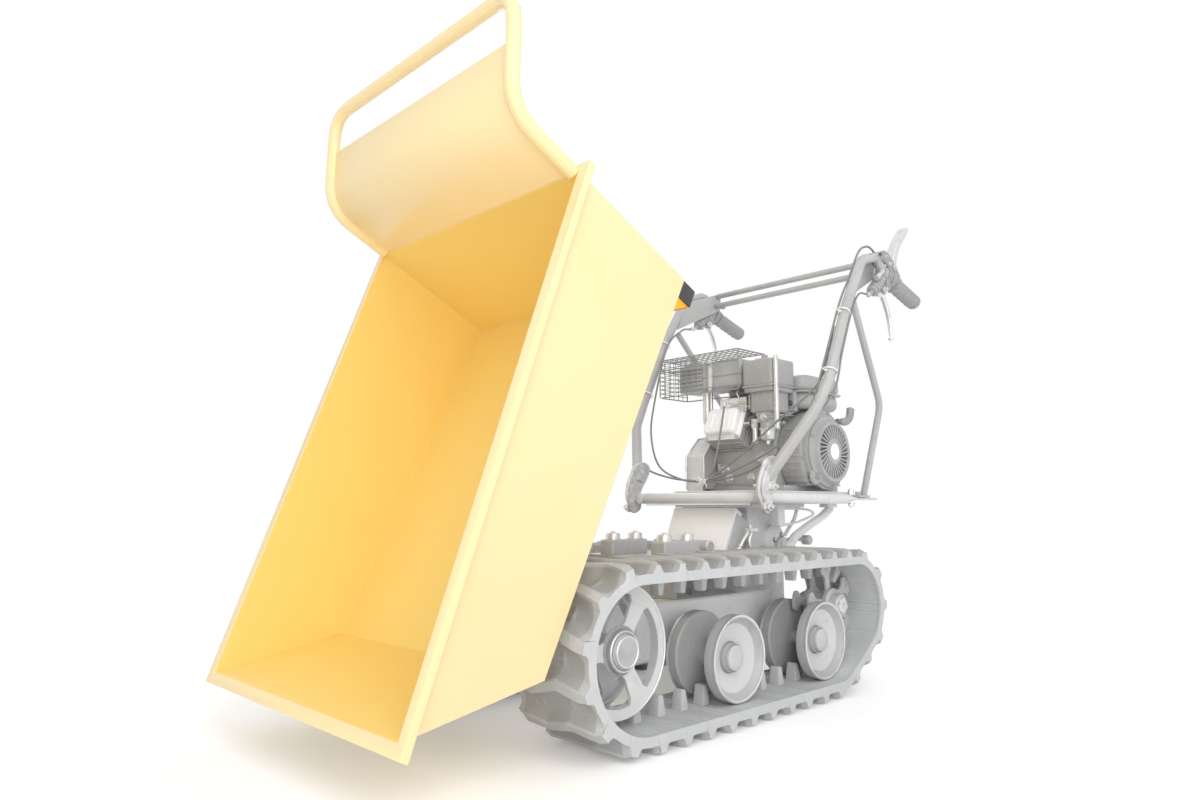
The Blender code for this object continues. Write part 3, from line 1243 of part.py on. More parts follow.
def carburettor():
    """Carburettor between the head and the air cleaner's base."""
    bowl = rod("carburettor", (0.082, 0.632, CRANK_Z + 0.038), (0.082, 0.632, CRANK_Z + 0.070), 0.019,
               "cast_metal", None, 14)
    throat = block("carb_throat", (ROCKER_X + HEAD_HALF_WIDTH + GAP, 0.618, CRANK_Z + 0.064),
                   (0.104, 0.648, CRANK_Z + 0.0915))
    return join(bowl, throat)


def muffler():
    """Muffler box with the exhaust bend down to the head."""
    low, high = MUFFLER_BOX
    box = block("muffler", low, high, "dark_steel", None, 0.010)
    rib = block("muffler_seam", (low[0] - 0.003, 0.650, low[2] + 0.004),
                (high[0] + 0.003, 0.654, high[2] - 0.004))
    face = ROCKER_X - HEAD_HALF_WIDTH - GAP
    path = rounded([(face - 0.0237, 0.640, low[2] + 0.004), (face - 0.0237, 0.634, low[2] - 0.032),
                    (face - 0.0257, *EXHAUST_PORT), (face - 0.004, *EXHAUST_PORT)], 0.020, 3)
    bend = tube("exhaust_bend", path, 0.011, None, None, 3)
    flange = axle("exhaust_flange", face - 0.006, face, *EXHAUST_PORT, 0.016, sides=12)
    top = CAGE_BOX[1][2] - CAGE_WIRE - GAP
    stays = [block(f"cage_stay_{x}", (x - 0.004, high[1] - 0.012, high[2] - 0.014), (x + 0.004, high[1], top))
             for x in (-0.150, -0.020)]
    return join(box, rib, bend, flange, *stays)


def muffler_guard():
    """Wire cage round the muffler, as frames and bars that meet."""
    low, high = CAGE_BOX
    base = block("muffler_guard", low, high, "dark_steel")
    hollow = block("cage_hollow", (low[0] + CAGE_WIRE, low[1] + CAGE_WIRE, low[2] - 0.01),
                   (high[0] + 0.01, high[1] + 0.01, high[2] - CAGE_WIRE))
    cut(base, hollow)
    for n in range(5):
        x = low[0] + CAGE_WIRE + 0.0075 + n * 0.0485
        gap = block(f"cage_gap_{n}", (x, low[1] - 0.01, low[2] + 0.008),
                    (x + CAGE_GAP, low[1] + 0.01, high[2] - 0.010))
        slot = block(f"cage_slot_{n}", (x, low[1] + 0.010, high[2] - 0.010),
                     (x + CAGE_GAP, high[1] - 0.008, high[2] + 0.01))
        cut(base, gap, slot)
    return base


def belt_guard():
    """Sheet cover over the drive belt, open towards the engine."""
    work = bmesh.new()
    spots = [work.verts.new((-GUARD_FACE, y, z)) for y, z in GUARD_OUTLINE]
    face = work.faces.new(spots)
    rim = list(face.edges)
    grown = bmesh.ops.extrude_edge_only(work, edges=rim)["geom"]
    bmesh.ops.translate(work, vec=(GUARD_FACE - GUARD_MOUTH, 0.0, 0.0),
                        verts=[item for item in grown if isinstance(item, bmesh.types.BMVert)])
    bmesh.ops.recalc_face_normals(work, faces=work.faces)
    made = add("belt_guard", mesh_from("belt_guard", work), "dark_steel")
    shell = made.modifiers.new("sheet", "SOLIDIFY")
    shell.thickness = GUARD_SHEET
    shell.offset = -1.0
    shell.use_even_offset = True
    return made


def pulley(name, radius, y, z, shaft_end):
    """Grooved pulley with the shaft that carries it."""
    half = V_BELT_WIDTH / 2 + 0.004
    x = -BELT_PLANE
    groove = radius - V_BELT_DEPTH
    profile = [(shaft_end - x, 0.0), (shaft_end - x, SHAFT_RADIUS), (half, SHAFT_RADIUS), (half, radius),
               (V_BELT_WIDTH / 2 + 0.001, radius), (V_BELT_WIDTH / 2 - 0.0016, groove),
               (-V_BELT_WIDTH / 2 + 0.0016, groove), (-V_BELT_WIDTH / 2 - 0.001, radius), (-half, radius),
               (-half, 0.0)]
    return turned(name, profile, (x, y, z), "bright_steel")


def drive_belt():
    """V-belt round the two pulleys."""
    a, b = Vector((CRANK_Y, CRANK_Z)), Vector((GEARBOX_Y, GEARBOX_Z))
    span = b - a
    base = atan2(span.y, span.x)
    loops = []
    for depth in (0.0, V_BELT_DEPTH - 2 * GAP):
        ra, rb = ENGINE_PULLEY - depth, GEARBOX_PULLEY - depth
        tilt = acos((ra - rb) / span.length)
        loop = arc(a, ra, degrees(base + tilt), degrees(base + 2 * pi - tilt), 12)
        loop += arc(b, rb, degrees(base - tilt), degrees(base + tilt), 16)
        loops.append(loop)
    half = V_BELT_WIDTH / 2 - 0.0022
    return plate("drive_belt", loops, -BELT_PLANE - half, -BELT_PLANE + half, "rubber")


# Cables, with their heights over the bed

TIE = (-0.040, 0.550, 0.04)
CABLE_RADIUS = 0.0024
CABLE_STEP = 0.050
CABLE_ROUTES = (
    [TIE, (0.060, 0.556, 0.1), (0.150, 0.566, 0.17), (0.2475, 0.585, 0.248), (0.2560, 0.625, 0.33),
     (0.2555, 0.668, 0.43), (0.2400, 0.740, 0.482), (0.2500, 0.810, 0.499), (0.2620, 0.8374, 0.503)],
    [TIE, (0.050, 0.552, 0.052), (0.130, 0.545, 0.08), (0.190, 0.5440, 0.128), (0.2370, 0.566, 0.204),
     (0.2490, 0.616, 0.3)],
    [TIE, (-0.110, 0.548, 0.046), (-0.175, 0.535, 0.08), (-0.225, 0.560, 0.16), (-0.2500, 0.600, 0.25),
     (-0.2560, 0.660, 0.41), (-0.2400, 0.740, 0.482), (-0.2500, 0.810, 0.499), (-0.2620, 0.8374, 0.503)],
    [TIE, (-0.020, 0.556, 0.08), (-0.0060, 0.566, 0.16), (0.004, 0.572, 0.232)],
    [TIE, (0.020, 0.545, 0.036), (0.080, 0.530, 0.03), (0.130, 0.520, 0.027)],
)


def control_cables():
    """Bowden cables from the levers, gathered at a tie in front of the engine."""
    x, y, z = TIE[0], TIE[1], BED_HEIGHT + TIE[2]
    knot = rod("control_cables", (x - 0.012, y, z - 0.002), (x + 0.012, y, z + 0.002), 0.0075,
               "dark_plastic", None, 10)
    for n, spots in enumerate(CABLE_ROUTES):
        route = [(*spot[:2], BED_HEIGHT + spot[2]) for spot in spots]
        join(knot, tube(f"cable_{n}", smooth_route(route, CABLE_STEP), CABLE_RADIUS, None, None, 1))
    return knot


def build():
    """Makes every piece."""
    skip_tub()
    spill_plate()
    skip_handle()
    skip_bearer()
    skip_hinge()
    hinge_pin()
    front_cross_member()
    bridge_channel()
    front_panel()
    front_cross_tube()
    bed_plate()
    gearbox()
    rear_strut()
    for label, side in SIDES:
        chassis_beam(label, side)
        track_belt(label, side)
        sprocket("drive_sprocket_" + label, side)
        idler("idler_" + label, side)
        for place, y, core in zip(("front", "rear"), ROLLER_YS, ROLLER_HUBS):
            roller(f"{place}_roller_{label}", side, y, core)
        bed_side_tube(label, side)
        handlebar(label, side)
        root_bracket(label, side)
        brace(label, side)
        grip(label, side)
        steering_lever(label, side)
    for name, (y, z) in CROSS_TUBES.items():
        cross_tube(name + "_cross_tube", y, z)
    clutch_paddle()
    throttle_lever()
    engine_block()
    rocker_cover()
    blower_housing()
    recoil_cover()
    recoil_handle()
    fuel_tank()
    fuel_cap()
    air_cleaner()
    clamp_rod()
    carburettor()
    muffler()
    muffler_guard()
    belt_guard()
    pulley("engine_pulley", ENGINE_PULLEY, CRANK_Y, CRANK_Z, -CASE_HALF_WIDTH - GAP * 2)
    pulley("gearbox_pulley", GEARBOX_PULLEY, GEARBOX_Y, GEARBOX_Z, 0.011 - CASE_HALF_WIDTH - GAP * 2)
    drive_belt()
    control_cables()


build()
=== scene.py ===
"""Power barrow with a tipped skip: its looks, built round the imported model.

Every piece is drawn in the machine's own frame, in metres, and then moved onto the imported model. Pieces of the
skip are drawn with the skip level, from its hinge, and then tipped.
"""
import json
from bisect import bisect_right
from math import acos, atan2, cos, degrees, hypot, pi, radians, sin, tan

import bmesh
import bpy
from bpy.props import FloatProperty, FloatVectorProperty, PointerProperty
from mathutils import Matrix, Vector


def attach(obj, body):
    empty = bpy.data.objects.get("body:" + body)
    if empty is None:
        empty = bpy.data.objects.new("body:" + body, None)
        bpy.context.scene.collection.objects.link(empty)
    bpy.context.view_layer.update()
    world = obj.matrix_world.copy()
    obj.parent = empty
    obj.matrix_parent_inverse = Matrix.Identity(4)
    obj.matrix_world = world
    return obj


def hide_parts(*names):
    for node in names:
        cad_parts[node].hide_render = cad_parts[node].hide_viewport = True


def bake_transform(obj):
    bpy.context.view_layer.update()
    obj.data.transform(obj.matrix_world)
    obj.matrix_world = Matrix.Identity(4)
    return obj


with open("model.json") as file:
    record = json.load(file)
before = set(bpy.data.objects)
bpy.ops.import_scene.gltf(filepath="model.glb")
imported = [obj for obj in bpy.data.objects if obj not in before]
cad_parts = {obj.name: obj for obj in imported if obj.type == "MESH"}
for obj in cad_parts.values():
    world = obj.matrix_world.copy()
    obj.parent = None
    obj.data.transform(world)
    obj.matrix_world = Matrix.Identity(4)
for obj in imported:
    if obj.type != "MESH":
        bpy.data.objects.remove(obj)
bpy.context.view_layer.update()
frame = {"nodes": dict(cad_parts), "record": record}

bl_info = {
    "name": "Power Barrow",
    "version": (1, 0, 0),
    "blender": (4, 5, 0),
    "location": "View3D > Sidebar > Power Barrow",
    "description": "Dresses the packed power barrow and lays out its stage",
    "category": "Object",
}

# Frames
MACHINE = Matrix.Translation((0.0, -0.277, 0.0))
HINGE = Vector((0.0, -0.100, 0.276))
TIP = radians(63.65)
SKIP = MACHINE @ Matrix.Translation(HINGE) @ Matrix.Rotation(TIP, 4, "X")
SIDES = (("left", 1), ("right", -1))


# Shader expressions

class Field:
    """A socket's value in a node tree, on which sums add Math nodes."""

    def __init__(self, tree, socket):
        self.tree, self.socket = tree, socket

    def math(self, kind, other=None, third=None):
        made = self.tree.nodes.new("ShaderNodeMath")
        made.operation = kind
        for place, value in enumerate((self, other, third)):
            if isinstance(value, Field):
                self.tree.links.new(value.socket, made.inputs[place])
            elif value is not None:
                made.inputs[place].default_value = value
        return Field(self.tree, made.outputs[0])

    def __add__(self, other):
        return self.math("ADD", other)

    __radd__ = __add__

    def __mul__(self, other):
        return self.math("MULTIPLY", other)

    __rmul__ = __mul__

    def __sub__(self, other):
        return self.math("SUBTRACT", other)

    def __rsub__(self, other):
        return self.math("MULTIPLY", -1.0).math("ADD", other)

    def between(self, low, high):
        """0 below low, 1 above high, and a smooth step between."""
        made = self.tree.nodes.new("ShaderNodeMapRange")
        made.interpolation_type = "SMOOTHSTEP"
        self.tree.links.new(self.socket, made.inputs["Value"])
        made.inputs["From Min"].default_value = low
        made.inputs["From Max"].default_value = high
        return Field(self.tree, made.outputs["Result"])


class Finish:
    """A Principled material whose changing sockets are set by expressions."""

    def __init__(self, name, colour, rough, metal=0.0, coat=0.0, sheen=0.0, specular=0.5):
        self.material = bpy.data.materials.new(name)
        self.material.use_nodes = True
        self.tree = self.material.node_tree
        self.shader = self.tree.nodes["Principled BSDF"]
        for socket, value in (("Base Color", (*colour, 1.0)), ("Roughness", rough), ("Metallic", metal),
                              ("Coat Weight", coat), ("Sheen Weight", sheen), ("Specular IOR Level", specular)):
            self.shader.inputs[socket].default_value = value
        self.material.diffuse_color = (*colour, 1.0)
        self.colour, self.rough = colour, rough

    def node(self, kind, settings=None, **values):
        """A node of a type, its settings made first, then its sockets' values or links."""
        made = self.tree.nodes.new(kind)
        for key, value in (settings or {}).items():
            setattr(made, key, value)
        for key, value in values.items():
            socket = made.inputs[key.replace("_", " ")]
            if isinstance(value, Field):
                self.tree.links.new(value.socket, socket)
            else:
                socket.default_value = value
        return made

    def place(self, scale=(1.0, 1.0, 1.0), turn=(0.0, 0.0, 0.0)):
        """Object coordinates, scaled and turned."""
        source = self.node("ShaderNodeTexCoord")
        mapping = self.node("ShaderNodeMapping", Vector=Field(self.tree, source.outputs["Object"]),
                            Scale=scale, Rotation=turn)
        return Field(self.tree, mapping.outputs[0])

    def noise(self, scale, detail=4.0, rough=0.55, stretch=(1.0, 1.0, 1.0)):
        made = self.node("ShaderNodeTexNoise", Vector=self.place(stretch), Scale=scale, Detail=detail,
                         Roughness=rough)
        return Field(self.tree, made.outputs["Fac"])

    def cells(self, scale, stretch=(1.0, 1.0, 1.0)):
        made = self.node("ShaderNodeTexVoronoi", {"feature": "F1"}, Vector=self.place(stretch), Scale=scale)
        return Field(self.tree, made.outputs["Distance"])

    def tint(self, mask, colour):
        """Base Color goes to another colour where a mask is 1."""
        socket = self.shader.inputs["Base Color"]
        made = self.node("ShaderNodeMix", {"data_type": "RGBA"})
        self.tree.links.new(mask.socket, made.inputs[0])
        if socket.links:
            self.tree.links.new(socket.links[0].from_socket, made.inputs[6])
        else:
            made.inputs[6].default_value = (*self.colour, 1.0)
        made.inputs[7].default_value = (*colour, 1.0)
        self.tree.links.new(made.outputs[2], socket)
        return self

    def roughness(self, field):
        self.tree.links.new(field.math("MAXIMUM", 0.05).socket, self.shader.inputs["Roughness"])
        return self

    def bump(self, field, depth, strength=1.0):
        made = self.node("ShaderNodeBump", Height=field, Distance=depth, Strength=strength)
        self.tree.links.new(made.outputs[0], self.shader.inputs["Normal"])
        return self


def shade(value, warmth=0.0):
    """Linear colour of a grey that is given as it shows, from 0 to 255."""
    plain = ((value / 255 + 0.055) / 1.055) ** 2.4
    return (plain * (1 + warmth), plain, plain * (1 - warmth))


def shown(red, green, blue):
    """Linear colour of one that is given as it shows, from 0 to 255."""
    return tuple(shade(part)[1] for part in (red, green, blue))


def yellow_paint(name, colour):
    """Sprayed paint with cloudy thickness, orange peel and faint scuffs."""
    made = Finish(name, tuple(colour), 0.34, coat=0.25)
    cloud = made.noise(3.0, 3.0)
    made.tint(cloud.between(0.45, 0.75) * 0.35, tuple(c * f for c, f in zip(colour, (1.0, 0.95, 0.80))))
    scuffs = made.noise(60.0, 5.0, 0.7, (1.0, 0.15, 1.0)).between(0.64, 0.74)
    made.roughness(0.30 + made.noise(18.0) * 0.10 + scuffs * 0.10)
    made.bump(made.noise(420.0, 2.0) * 0.5 + made.noise(35.0, 2.0) * 0.5, 0.00025)
    return made.material


# The bearer's deep orange is the skip's yellow as it shows in the shade under the floor: painted shade.
def orange_paint(settings):
    made = Finish("orange_paint", tuple(settings.orange), 0.36, coat=0.2)
    made.tint(made.noise(14.0).between(0.55, 0.75) * 0.4, tuple(c * 0.8 for c in settings.orange))
    made.bump(made.noise(300.0, 2.0), 0.0003)
    return made.material


def cap_plastic():
    made = Finish("cap_plastic", shade(62), 0.48)
    made.tint(made.noise(90.0).between(0.5, 0.8) * 0.5, shade(92))
    made.bump(made.noise(900.0, 2.0), 0.0002)
    return made.material


def track_rubber(name, value):
    """Dusty rubber with fine pits, paler where it is worn."""
    # A faint cool tint on every rubber tone cancels the yellow light that the skip throws on the tracks: a painted
    # correction of that light.
    made = Finish(name, shade(value, -0.012), 0.82, specular=0.35)
    dust = made.noise(22.0, 6.0, 0.65).between(0.42, 0.72)
    made.tint(dust * 0.45, shade(value + 16, -0.012))
    made.tint(made.noise(160.0, 5.0, 0.7).between(0.56, 0.70) * 0.45, shade(value - 26, -0.012))
    made.roughness(0.72 + dust * 0.18)
    made.bump(made.noise(240.0, 5.0, 0.65) * 0.6 + made.cells(330.0) * 0.4, 0.0008)
    return made.material


def grip_rubber():
    made = Finish("grip_rubber", shade(166), 0.72, specular=0.4)
    made.tint(made.noise(140.0, 4.0).between(0.5, 0.75) * 0.4, shade(144))
    made.bump(made.noise(800.0, 3.0), 0.0003)
    return made.material


def painted(name, value, rough, chips=0.5, dusty=0.4):
    """Sprayed steel with patches of dust and small chips."""
    made = Finish(name, shade(value), rough, coat=0.08)
    dust = made.noise(9.0, 5.0, 0.6).between(0.40, 0.75)
    made.tint(dust * dusty, shade(min(value + 24, 250)))
    made.tint(made.noise(34.0, 4.0, 0.6).between(0.58, 0.74) * 0.5, shade(value - 28))
    made.tint(made.noise(210.0, 4.0, 0.7).between(0.70, 0.76) * chips, shade(min(value + 60, 246)))
    made.roughness(rough + made.noise(26.0) * 0.16 - 0.04)
    made.bump(made.noise(380.0, 3.0), 0.0003)
    return made.material


def bright_metal(name, value, rough, grain=(1.0, 1.0, 1.0)):
    """Plated steel with faint drawing lines and spots."""
    made = Finish(name, shade(value), rough, metal=0.75)
    made.tint(made.noise(46.0, 4.0, 0.6, grain).between(0.5, 0.8) * 0.6, shade(value - 50))
    made.roughness(rough + made.noise(120.0, 4.0, 0.6, grain) * 0.18)
    made.bump(made.noise(600.0, 3.0, 0.6, grain), 0.00015)
    return made.material


def cast_metal(name, value):
    """Sand-cast alloy."""
    made = Finish(name, shade(value), 0.5, metal=0.25)
    made.tint(made.noise(26.0, 5.0).between(0.45, 0.75) * 0.5, shade(value - 34))
    made.tint(made.noise(260.0, 3.0).between(0.60, 0.72) * 0.4, shade(min(value + 40, 248)))
    made.roughness(0.42 + made.noise(60.0) * 0.2)
    made.bump(made.noise(520.0, 4.0, 0.7) * 0.7 + made.noise(90.0) * 0.3, 0.0007)
    return made.material


def moulded(name, value, rough):
    """Moulded plastic or pressed, painted cover with a fine grain."""
    made = Finish(name, shade(value), rough, coat=0.1)
    made.tint(made.noise(12.0, 5.0).between(0.45, 0.78) * 0.45, shade(min(value + 26, 250)))
    made.tint(made.noise(70.0, 4.0).between(0.55, 0.75) * 0.3, shade(value - 22))
    made.roughness(rough + made.noise(40.0) * 0.14)
    made.bump(made.noise(900.0, 2.0), 0.0002)
    return made.material


def galvanised(name, value):
    """Hot-dipped zinc with its pale and dark flowers."""
    made = Finish(name, shade(value), 0.36, metal=0.35)
    made.tint(made.noise(48.0, 4.0, 0.6).between(0.40, 0.66) * 0.55, shade(value - 44))
    made.tint(made.noise(85.0, 4.0, 0.6).between(0.52, 0.68) * 0.6, shade(250))
    made.roughness(0.26 + made.noise(80.0) * 0.25)
    made.bump(made.noise(120.0, 4.0, 0.6), 0.0004)
    return made.material


FINISHES = {}


def make_finishes(settings):
    """Every material of the machine, by its plain name."""
    FINISHES.update(
        yellow=yellow_paint("yellow_paint", settings.yellow),
        # A deeper copy of the skip's paint for the tub's inner faces: painted shade.
        deep=yellow_paint("yellow_paint_inside", settings.inside),
        orange=orange_paint(settings), cap=cap_plastic(),
        rubber=track_rubber("track_rubber", settings.rubber),
        # Darker rubber for the pockets between the treads: painted shade.
        pocket=track_rubber("track_rubber_pockets", settings.rubber - 20),
        # Paler rubber for the belt's inner face and lugs, which lifts their shade under the machine: painted light.
        dusty=track_rubber("track_rubber_inside", settings.rubber + 8), grip=grip_rubber(),
        boot=moulded("boot_rubber", 172, 0.6),
        frame=painted("frame_paint", 184, 0.28, 0.4), dark=painted("dark_paint", 218, 0.40),
        beam=painted("beam_paint", 248, 0.38), wheel=painted("wheel_paint", 178, 0.34, 0.8, 0.5),
        web=painted("wheel_web_paint", 206, 0.36, 0.6, 0.4), panel=painted("panel_paint", 254, 0.42, 0.0, 0.0),
        tank=moulded("tank_paint", 182, 0.30), mottled=galvanised("galvanised_plate", 218),
        cleaner=moulded("cleaner_plastic", 168, 0.36),
        zinc=bright_metal("zinc_plate", 226, 0.30), chrome=bright_metal("chrome", 238, 0.14, (1, 1, 0.2)),
        cast=cast_metal("cast_alloy", 186), hub=cast_metal("hub_casting", 204),
        plastic=moulded("moulded_plastic", 158, 0.40), cover=moulded("pressed_cover", 174, 0.32),
        # The darker of these two stands for shade behind the starter's slots and also colours real dark hoses and
        # leads; the paler one is painted shade in creases and recesses.
        slot=moulded("shaded_slots", 104, 0.5), groove=moulded("shaded_groove", 150, 0.5),
        cable=moulded("cable_sheath", 138, 0.5), tie=moulded("nylon_tie", 244, 0.5),
        # The bed tubes take a paler copy of the frame paint, standing for the highlights along them: painted light.
        wire=painted("cage_wire", 150, 0.4), bed=painted("bed_tube_paint", 222, 0.26, 0.4),
    )


# Drawing tools

def bent(points, radius, steps=6):
    """A path whose inner corners are rounded to a bend radius."""
    points = [Vector(point) for point in points]
    path = [points[0]]
    for before, corner, after in zip(points, points[1:], points[2:]):
        back, ahead = (before - corner).normalized(), (after - corner).normalized()
        reach = min(radius / max(tan(back.angle(ahead) / 2), 1e-6),
                    0.47 * min((before - corner).length, (after - corner).length))
        start, end = corner + back * reach, corner + ahead * reach
        for i in range(steps + 1):
            t = i / steps
            path.append(start * (1 - t) ** 2 + corner * 2 * t * (1 - t) + end * t ** 2)
    return path + [points[-1]]


def eased(points, step):
    """Even points on the smooth curve through a route's own points."""
    spots = [Vector(point) for point in points]
    ends = [spots[0] * 2 - spots[1], *spots, spots[-1] * 2 - spots[-2]]
    path = [spots[0]]
    for a, b, c, d in zip(ends, ends[1:], ends[2:], ends[3:]):
        count = max(2, round((c - b).length / step))
        for i in range(1, count + 1):
            t = i / count
            path.append(0.5 * (2 * b + (c - a) * t + (2 * a - 5 * b + 4 * c - d) * t ** 2
                               + (3 * b - a - 3 * c + d) * t ** 3))
    return path


def round_about(centre, radius, first, last, count):
    """Points on an arc in the (y, z) plane, by angles in degrees, both ends included."""
    return [(centre[0] + radius * cos(radians(first + (last - first) * i / count)),
             centre[1] + radius * sin(radians(first + (last - first) * i / count))) for i in range(count + 1)]


def aim(direction):
    """The turn that points +Z along a direction."""
    return Vector(direction).to_track_quat("Z", "Y").to_matrix().to_4x4()


class Shape:
    """One piece while it is drawn, in the machine's frame or the level skip's."""

    def __init__(self, home=MACHINE):
        self.work, self.home = bmesh.new(), home

    def moved(self, verts, matrix):
        bmesh.ops.transform(self.work, matrix=matrix, verts=verts)
        return verts

    def box(self, low, high, bevel=0.0, segments=2, matrix=Matrix()):
        """A box between two corners, with its edges rounded when asked."""
        low, high = Vector(low), Vector(high)
        made = bmesh.ops.create_cube(self.work, size=1.0)["verts"]
        bmesh.ops.scale(self.work, vec=high - low, verts=made)
        if bevel:
            edges = list({edge for spot in made for edge in spot.link_edges})
            made = bmesh.ops.bevel(self.work, geom=edges, offset=bevel, segments=segments, profile=0.5,
                                   affect="EDGES", material=-1)["verts"]
        return self.moved(made, matrix @ Matrix.Translation((low + high) / 2))

    def pad(self, low, high, corner, edge, segments=5):
        """A moulded box: wide round corners seen from above, and softer edges at the top and bottom."""
        low, high = Vector(low), Vector(high)
        made = bmesh.ops.create_cube(self.work, size=1.0)["verts"]
        bmesh.ops.scale(self.work, vec=high - low, verts=made)
        bmesh.ops.translate(self.work, vec=(low + high) / 2, verts=made)
        upright = [line for line in {line for spot in made for line in spot.link_edges}
                   if abs(line.verts[0].co.z - line.verts[1].co.z) > 1e-6]
        made = bmesh.ops.bevel(self.work, geom=upright, offset=corner, segments=segments, profile=0.5,
                               affect="EDGES", material=-1)["verts"]
        made = list({spot for start in made for face in start.link_faces for spot in face.verts})
        level = [line for line in {line for spot in made for line in spot.link_edges}
                 if abs(line.verts[0].co.z - line.verts[1].co.z) < 1e-6]
        bmesh.ops.bevel(self.work, geom=level, offset=edge, segments=3, profile=0.5, affect="EDGES", material=-1,
                        clamp_overlap=True)

    def rod(self, start, end, radius, sides=24, end_radius=None):
        """A cylinder or cone from one point to another."""
        start, end = Vector(start), Vector(end)
        place = Matrix.Translation((start + end) / 2) @ aim(end - start)
        return bmesh.ops.create_cone(self.work, cap_ends=True, segments=sides, radius1=radius,
                                     radius2=radius if end_radius is None else end_radius,
                                     depth=(end - start).length, matrix=place)["verts"]

    def tube(self, points, radius, sides=16, flat=1.0):
        """A round bar along points. A radius for each point, or one for all."""
        points = [Vector(point) for point in points]
        sizes = radius if isinstance(radius, (list, tuple)) else [radius] * len(points)
        along = (points[1] - points[0]).normalized()
        turn = along.to_track_quat("Z", "Y")
        place = Matrix.Translation(points[0]) @ turn.to_matrix().to_4x4()
        verts = bmesh.ops.create_circle(self.work, segments=sides, radius=1.0, matrix=place @ Matrix.Diagonal(
            (sizes[0] * flat, sizes[0], 1.0, 1.0)))["verts"]
        edges = list({edge for spot in verts for edge in spot.link_edges})
        everything = list(verts)
        bmesh.ops.contextual_create(self.work, geom=edges)
        for i in range(1, len(points)):
            ahead = (points[min(i + 1, len(points) - 1)] - points[i - 1]).normalized()
            turn = along.rotation_difference(ahead) @ turn
            along = ahead
            then = Matrix.Translation(points[i]) @ turn.to_matrix().to_4x4() @ Matrix.Diagonal(
                (sizes[i] / sizes[i - 1], sizes[i] / sizes[i - 1], 1.0, 1.0))
            grown = bmesh.ops.extrude_edge_only(self.work, edges=edges)["geom"]
            verts = [item for item in grown if isinstance(item, bmesh.types.BMVert)]
            edges = [item for item in grown if isinstance(item, bmesh.types.BMEdge)
                     and all(spot in verts for spot in item.verts)]
            self.moved(verts, then @ place.inverted())
            place = Matrix.Translation(points[i]) @ turn.to_matrix().to_4x4()
            everything += verts
        bmesh.ops.contextual_create(self.work, geom=edges)
        bmesh.ops.recalc_face_normals(self.work, faces=list({f for spot in everything for f in spot.link_faces}))
        return everything

    def turned(self, profile, place, axis=(1.0, 0.0, 0.0), steps=48):
        """A closed profile of (distance, radius) turned about an axis through a place."""
        own = bmesh.new()
        spots = [own.verts.new((radius, 0.0, reach)) for reach, radius in profile]
        edges = [own.edges.new(pair) for pair in zip(spots, spots[1:])]
        bmesh.ops.spin(own, geom=spots + edges, cent=(0, 0, 0), axis=(0, 0, 1), dvec=(0, 0, 0), angle=2 * pi,
                       steps=steps, use_merge=True, use_duplicate=False)
        bmesh.ops.remove_doubles(own, verts=own.verts, dist=1e-6)
        bmesh.ops.recalc_face_normals(own, faces=own.faces)
        return self.take(own, Matrix.Translation(place) @ aim(axis))

    def plate(self, outline, x0, x1, holes=()):
        """A flat outline in (y, z), with holes, from x0 to x1."""
        own = bmesh.new()
        edges = []
        for line in (outline, *holes):
            spots = [own.verts.new((x0, *point)) for point in line]
            edges += [own.edges.new(pair) for pair in zip(spots, spots[1:] + spots[:1])]
        bmesh.ops.triangle_fill(own, use_beauty=True, use_dissolve=True, edges=edges)
        grown = bmesh.ops.extrude_face_region(own, geom=own.faces[:])["geom"]
        bmesh.ops.translate(own, vec=(x1 - x0, 0.0, 0.0),
                            verts=[item for item in grown if isinstance(item, bmesh.types.BMVert)])
        bmesh.ops.recalc_face_normals(own, faces=own.faces)
        return self.take(own)

    def bolt(self, place, direction, size, height, washer=True, sides=6):
        """A bolt head, or a nut, on its washer."""
        place, direction = Vector(place), Vector(direction).normalized()
        made = []
        if washer:
            made += self.rod(place, place + direction * size * 0.25, size * 1.45, 20)
            place = place + direction * size * 0.25
        made += self.rod(place, place + direction * height, size, sides)
        made += self.rod(place + direction * height, place + direction * (height + size * 0.35), size * 0.5, 12)
        return made

    def take(self, other, matrix=Matrix()):
        """Another bmesh's shape, added to this one."""
        bmesh.ops.transform(other, matrix=matrix, verts=other.verts)
        spare = bpy.data.meshes.new("spare")
        other.to_mesh(spare)
        other.free()
        before = set(self.work.verts)
        self.work.from_mesh(spare)
        bpy.data.meshes.remove(spare)
        return [spot for spot in self.work.verts if spot not in before]

    def piece(self, name, finish, slot, body="chassis", stands_for=(), bevel=0.0006, segments=2, smooth=35):
        """Ends the drawing: a named piece that rides on a body of the frame."""
        bmesh.ops.transform(self.work, matrix=self.home, verts=self.work.verts)
        mesh = bpy.data.meshes.new(name)
        self.work.to_mesh(mesh)
        self.work.free()
        mesh.materials.append(FINISHES[finish])
        mesh.shade_smooth()
        made = bpy.data.objects.new(name, mesh)
        bpy.context.scene.collection.objects.link(made)
        if bevel:
            edge = made.modifiers.new("soft_edges", "BEVEL")
            edge.width, edge.segments, edge.limit_method = bevel, segments, "ANGLE"
            edge.angle_limit = radians(smooth)
            edge.harden_normals = True
        else:
            mesh.set_sharp_from_angle(angle=radians(smooth))
        if body:
            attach(made, body)
        if stands_for:
            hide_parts(*stands_for)
        return made


BODY_OF = {node: body for body, nodes in frame["record"]["behaviour"]["bodies"].items() for node in nodes}
SLOT_OF = {row["node"]: row["material_slot"] for row in frame["record"]["subparts"]}


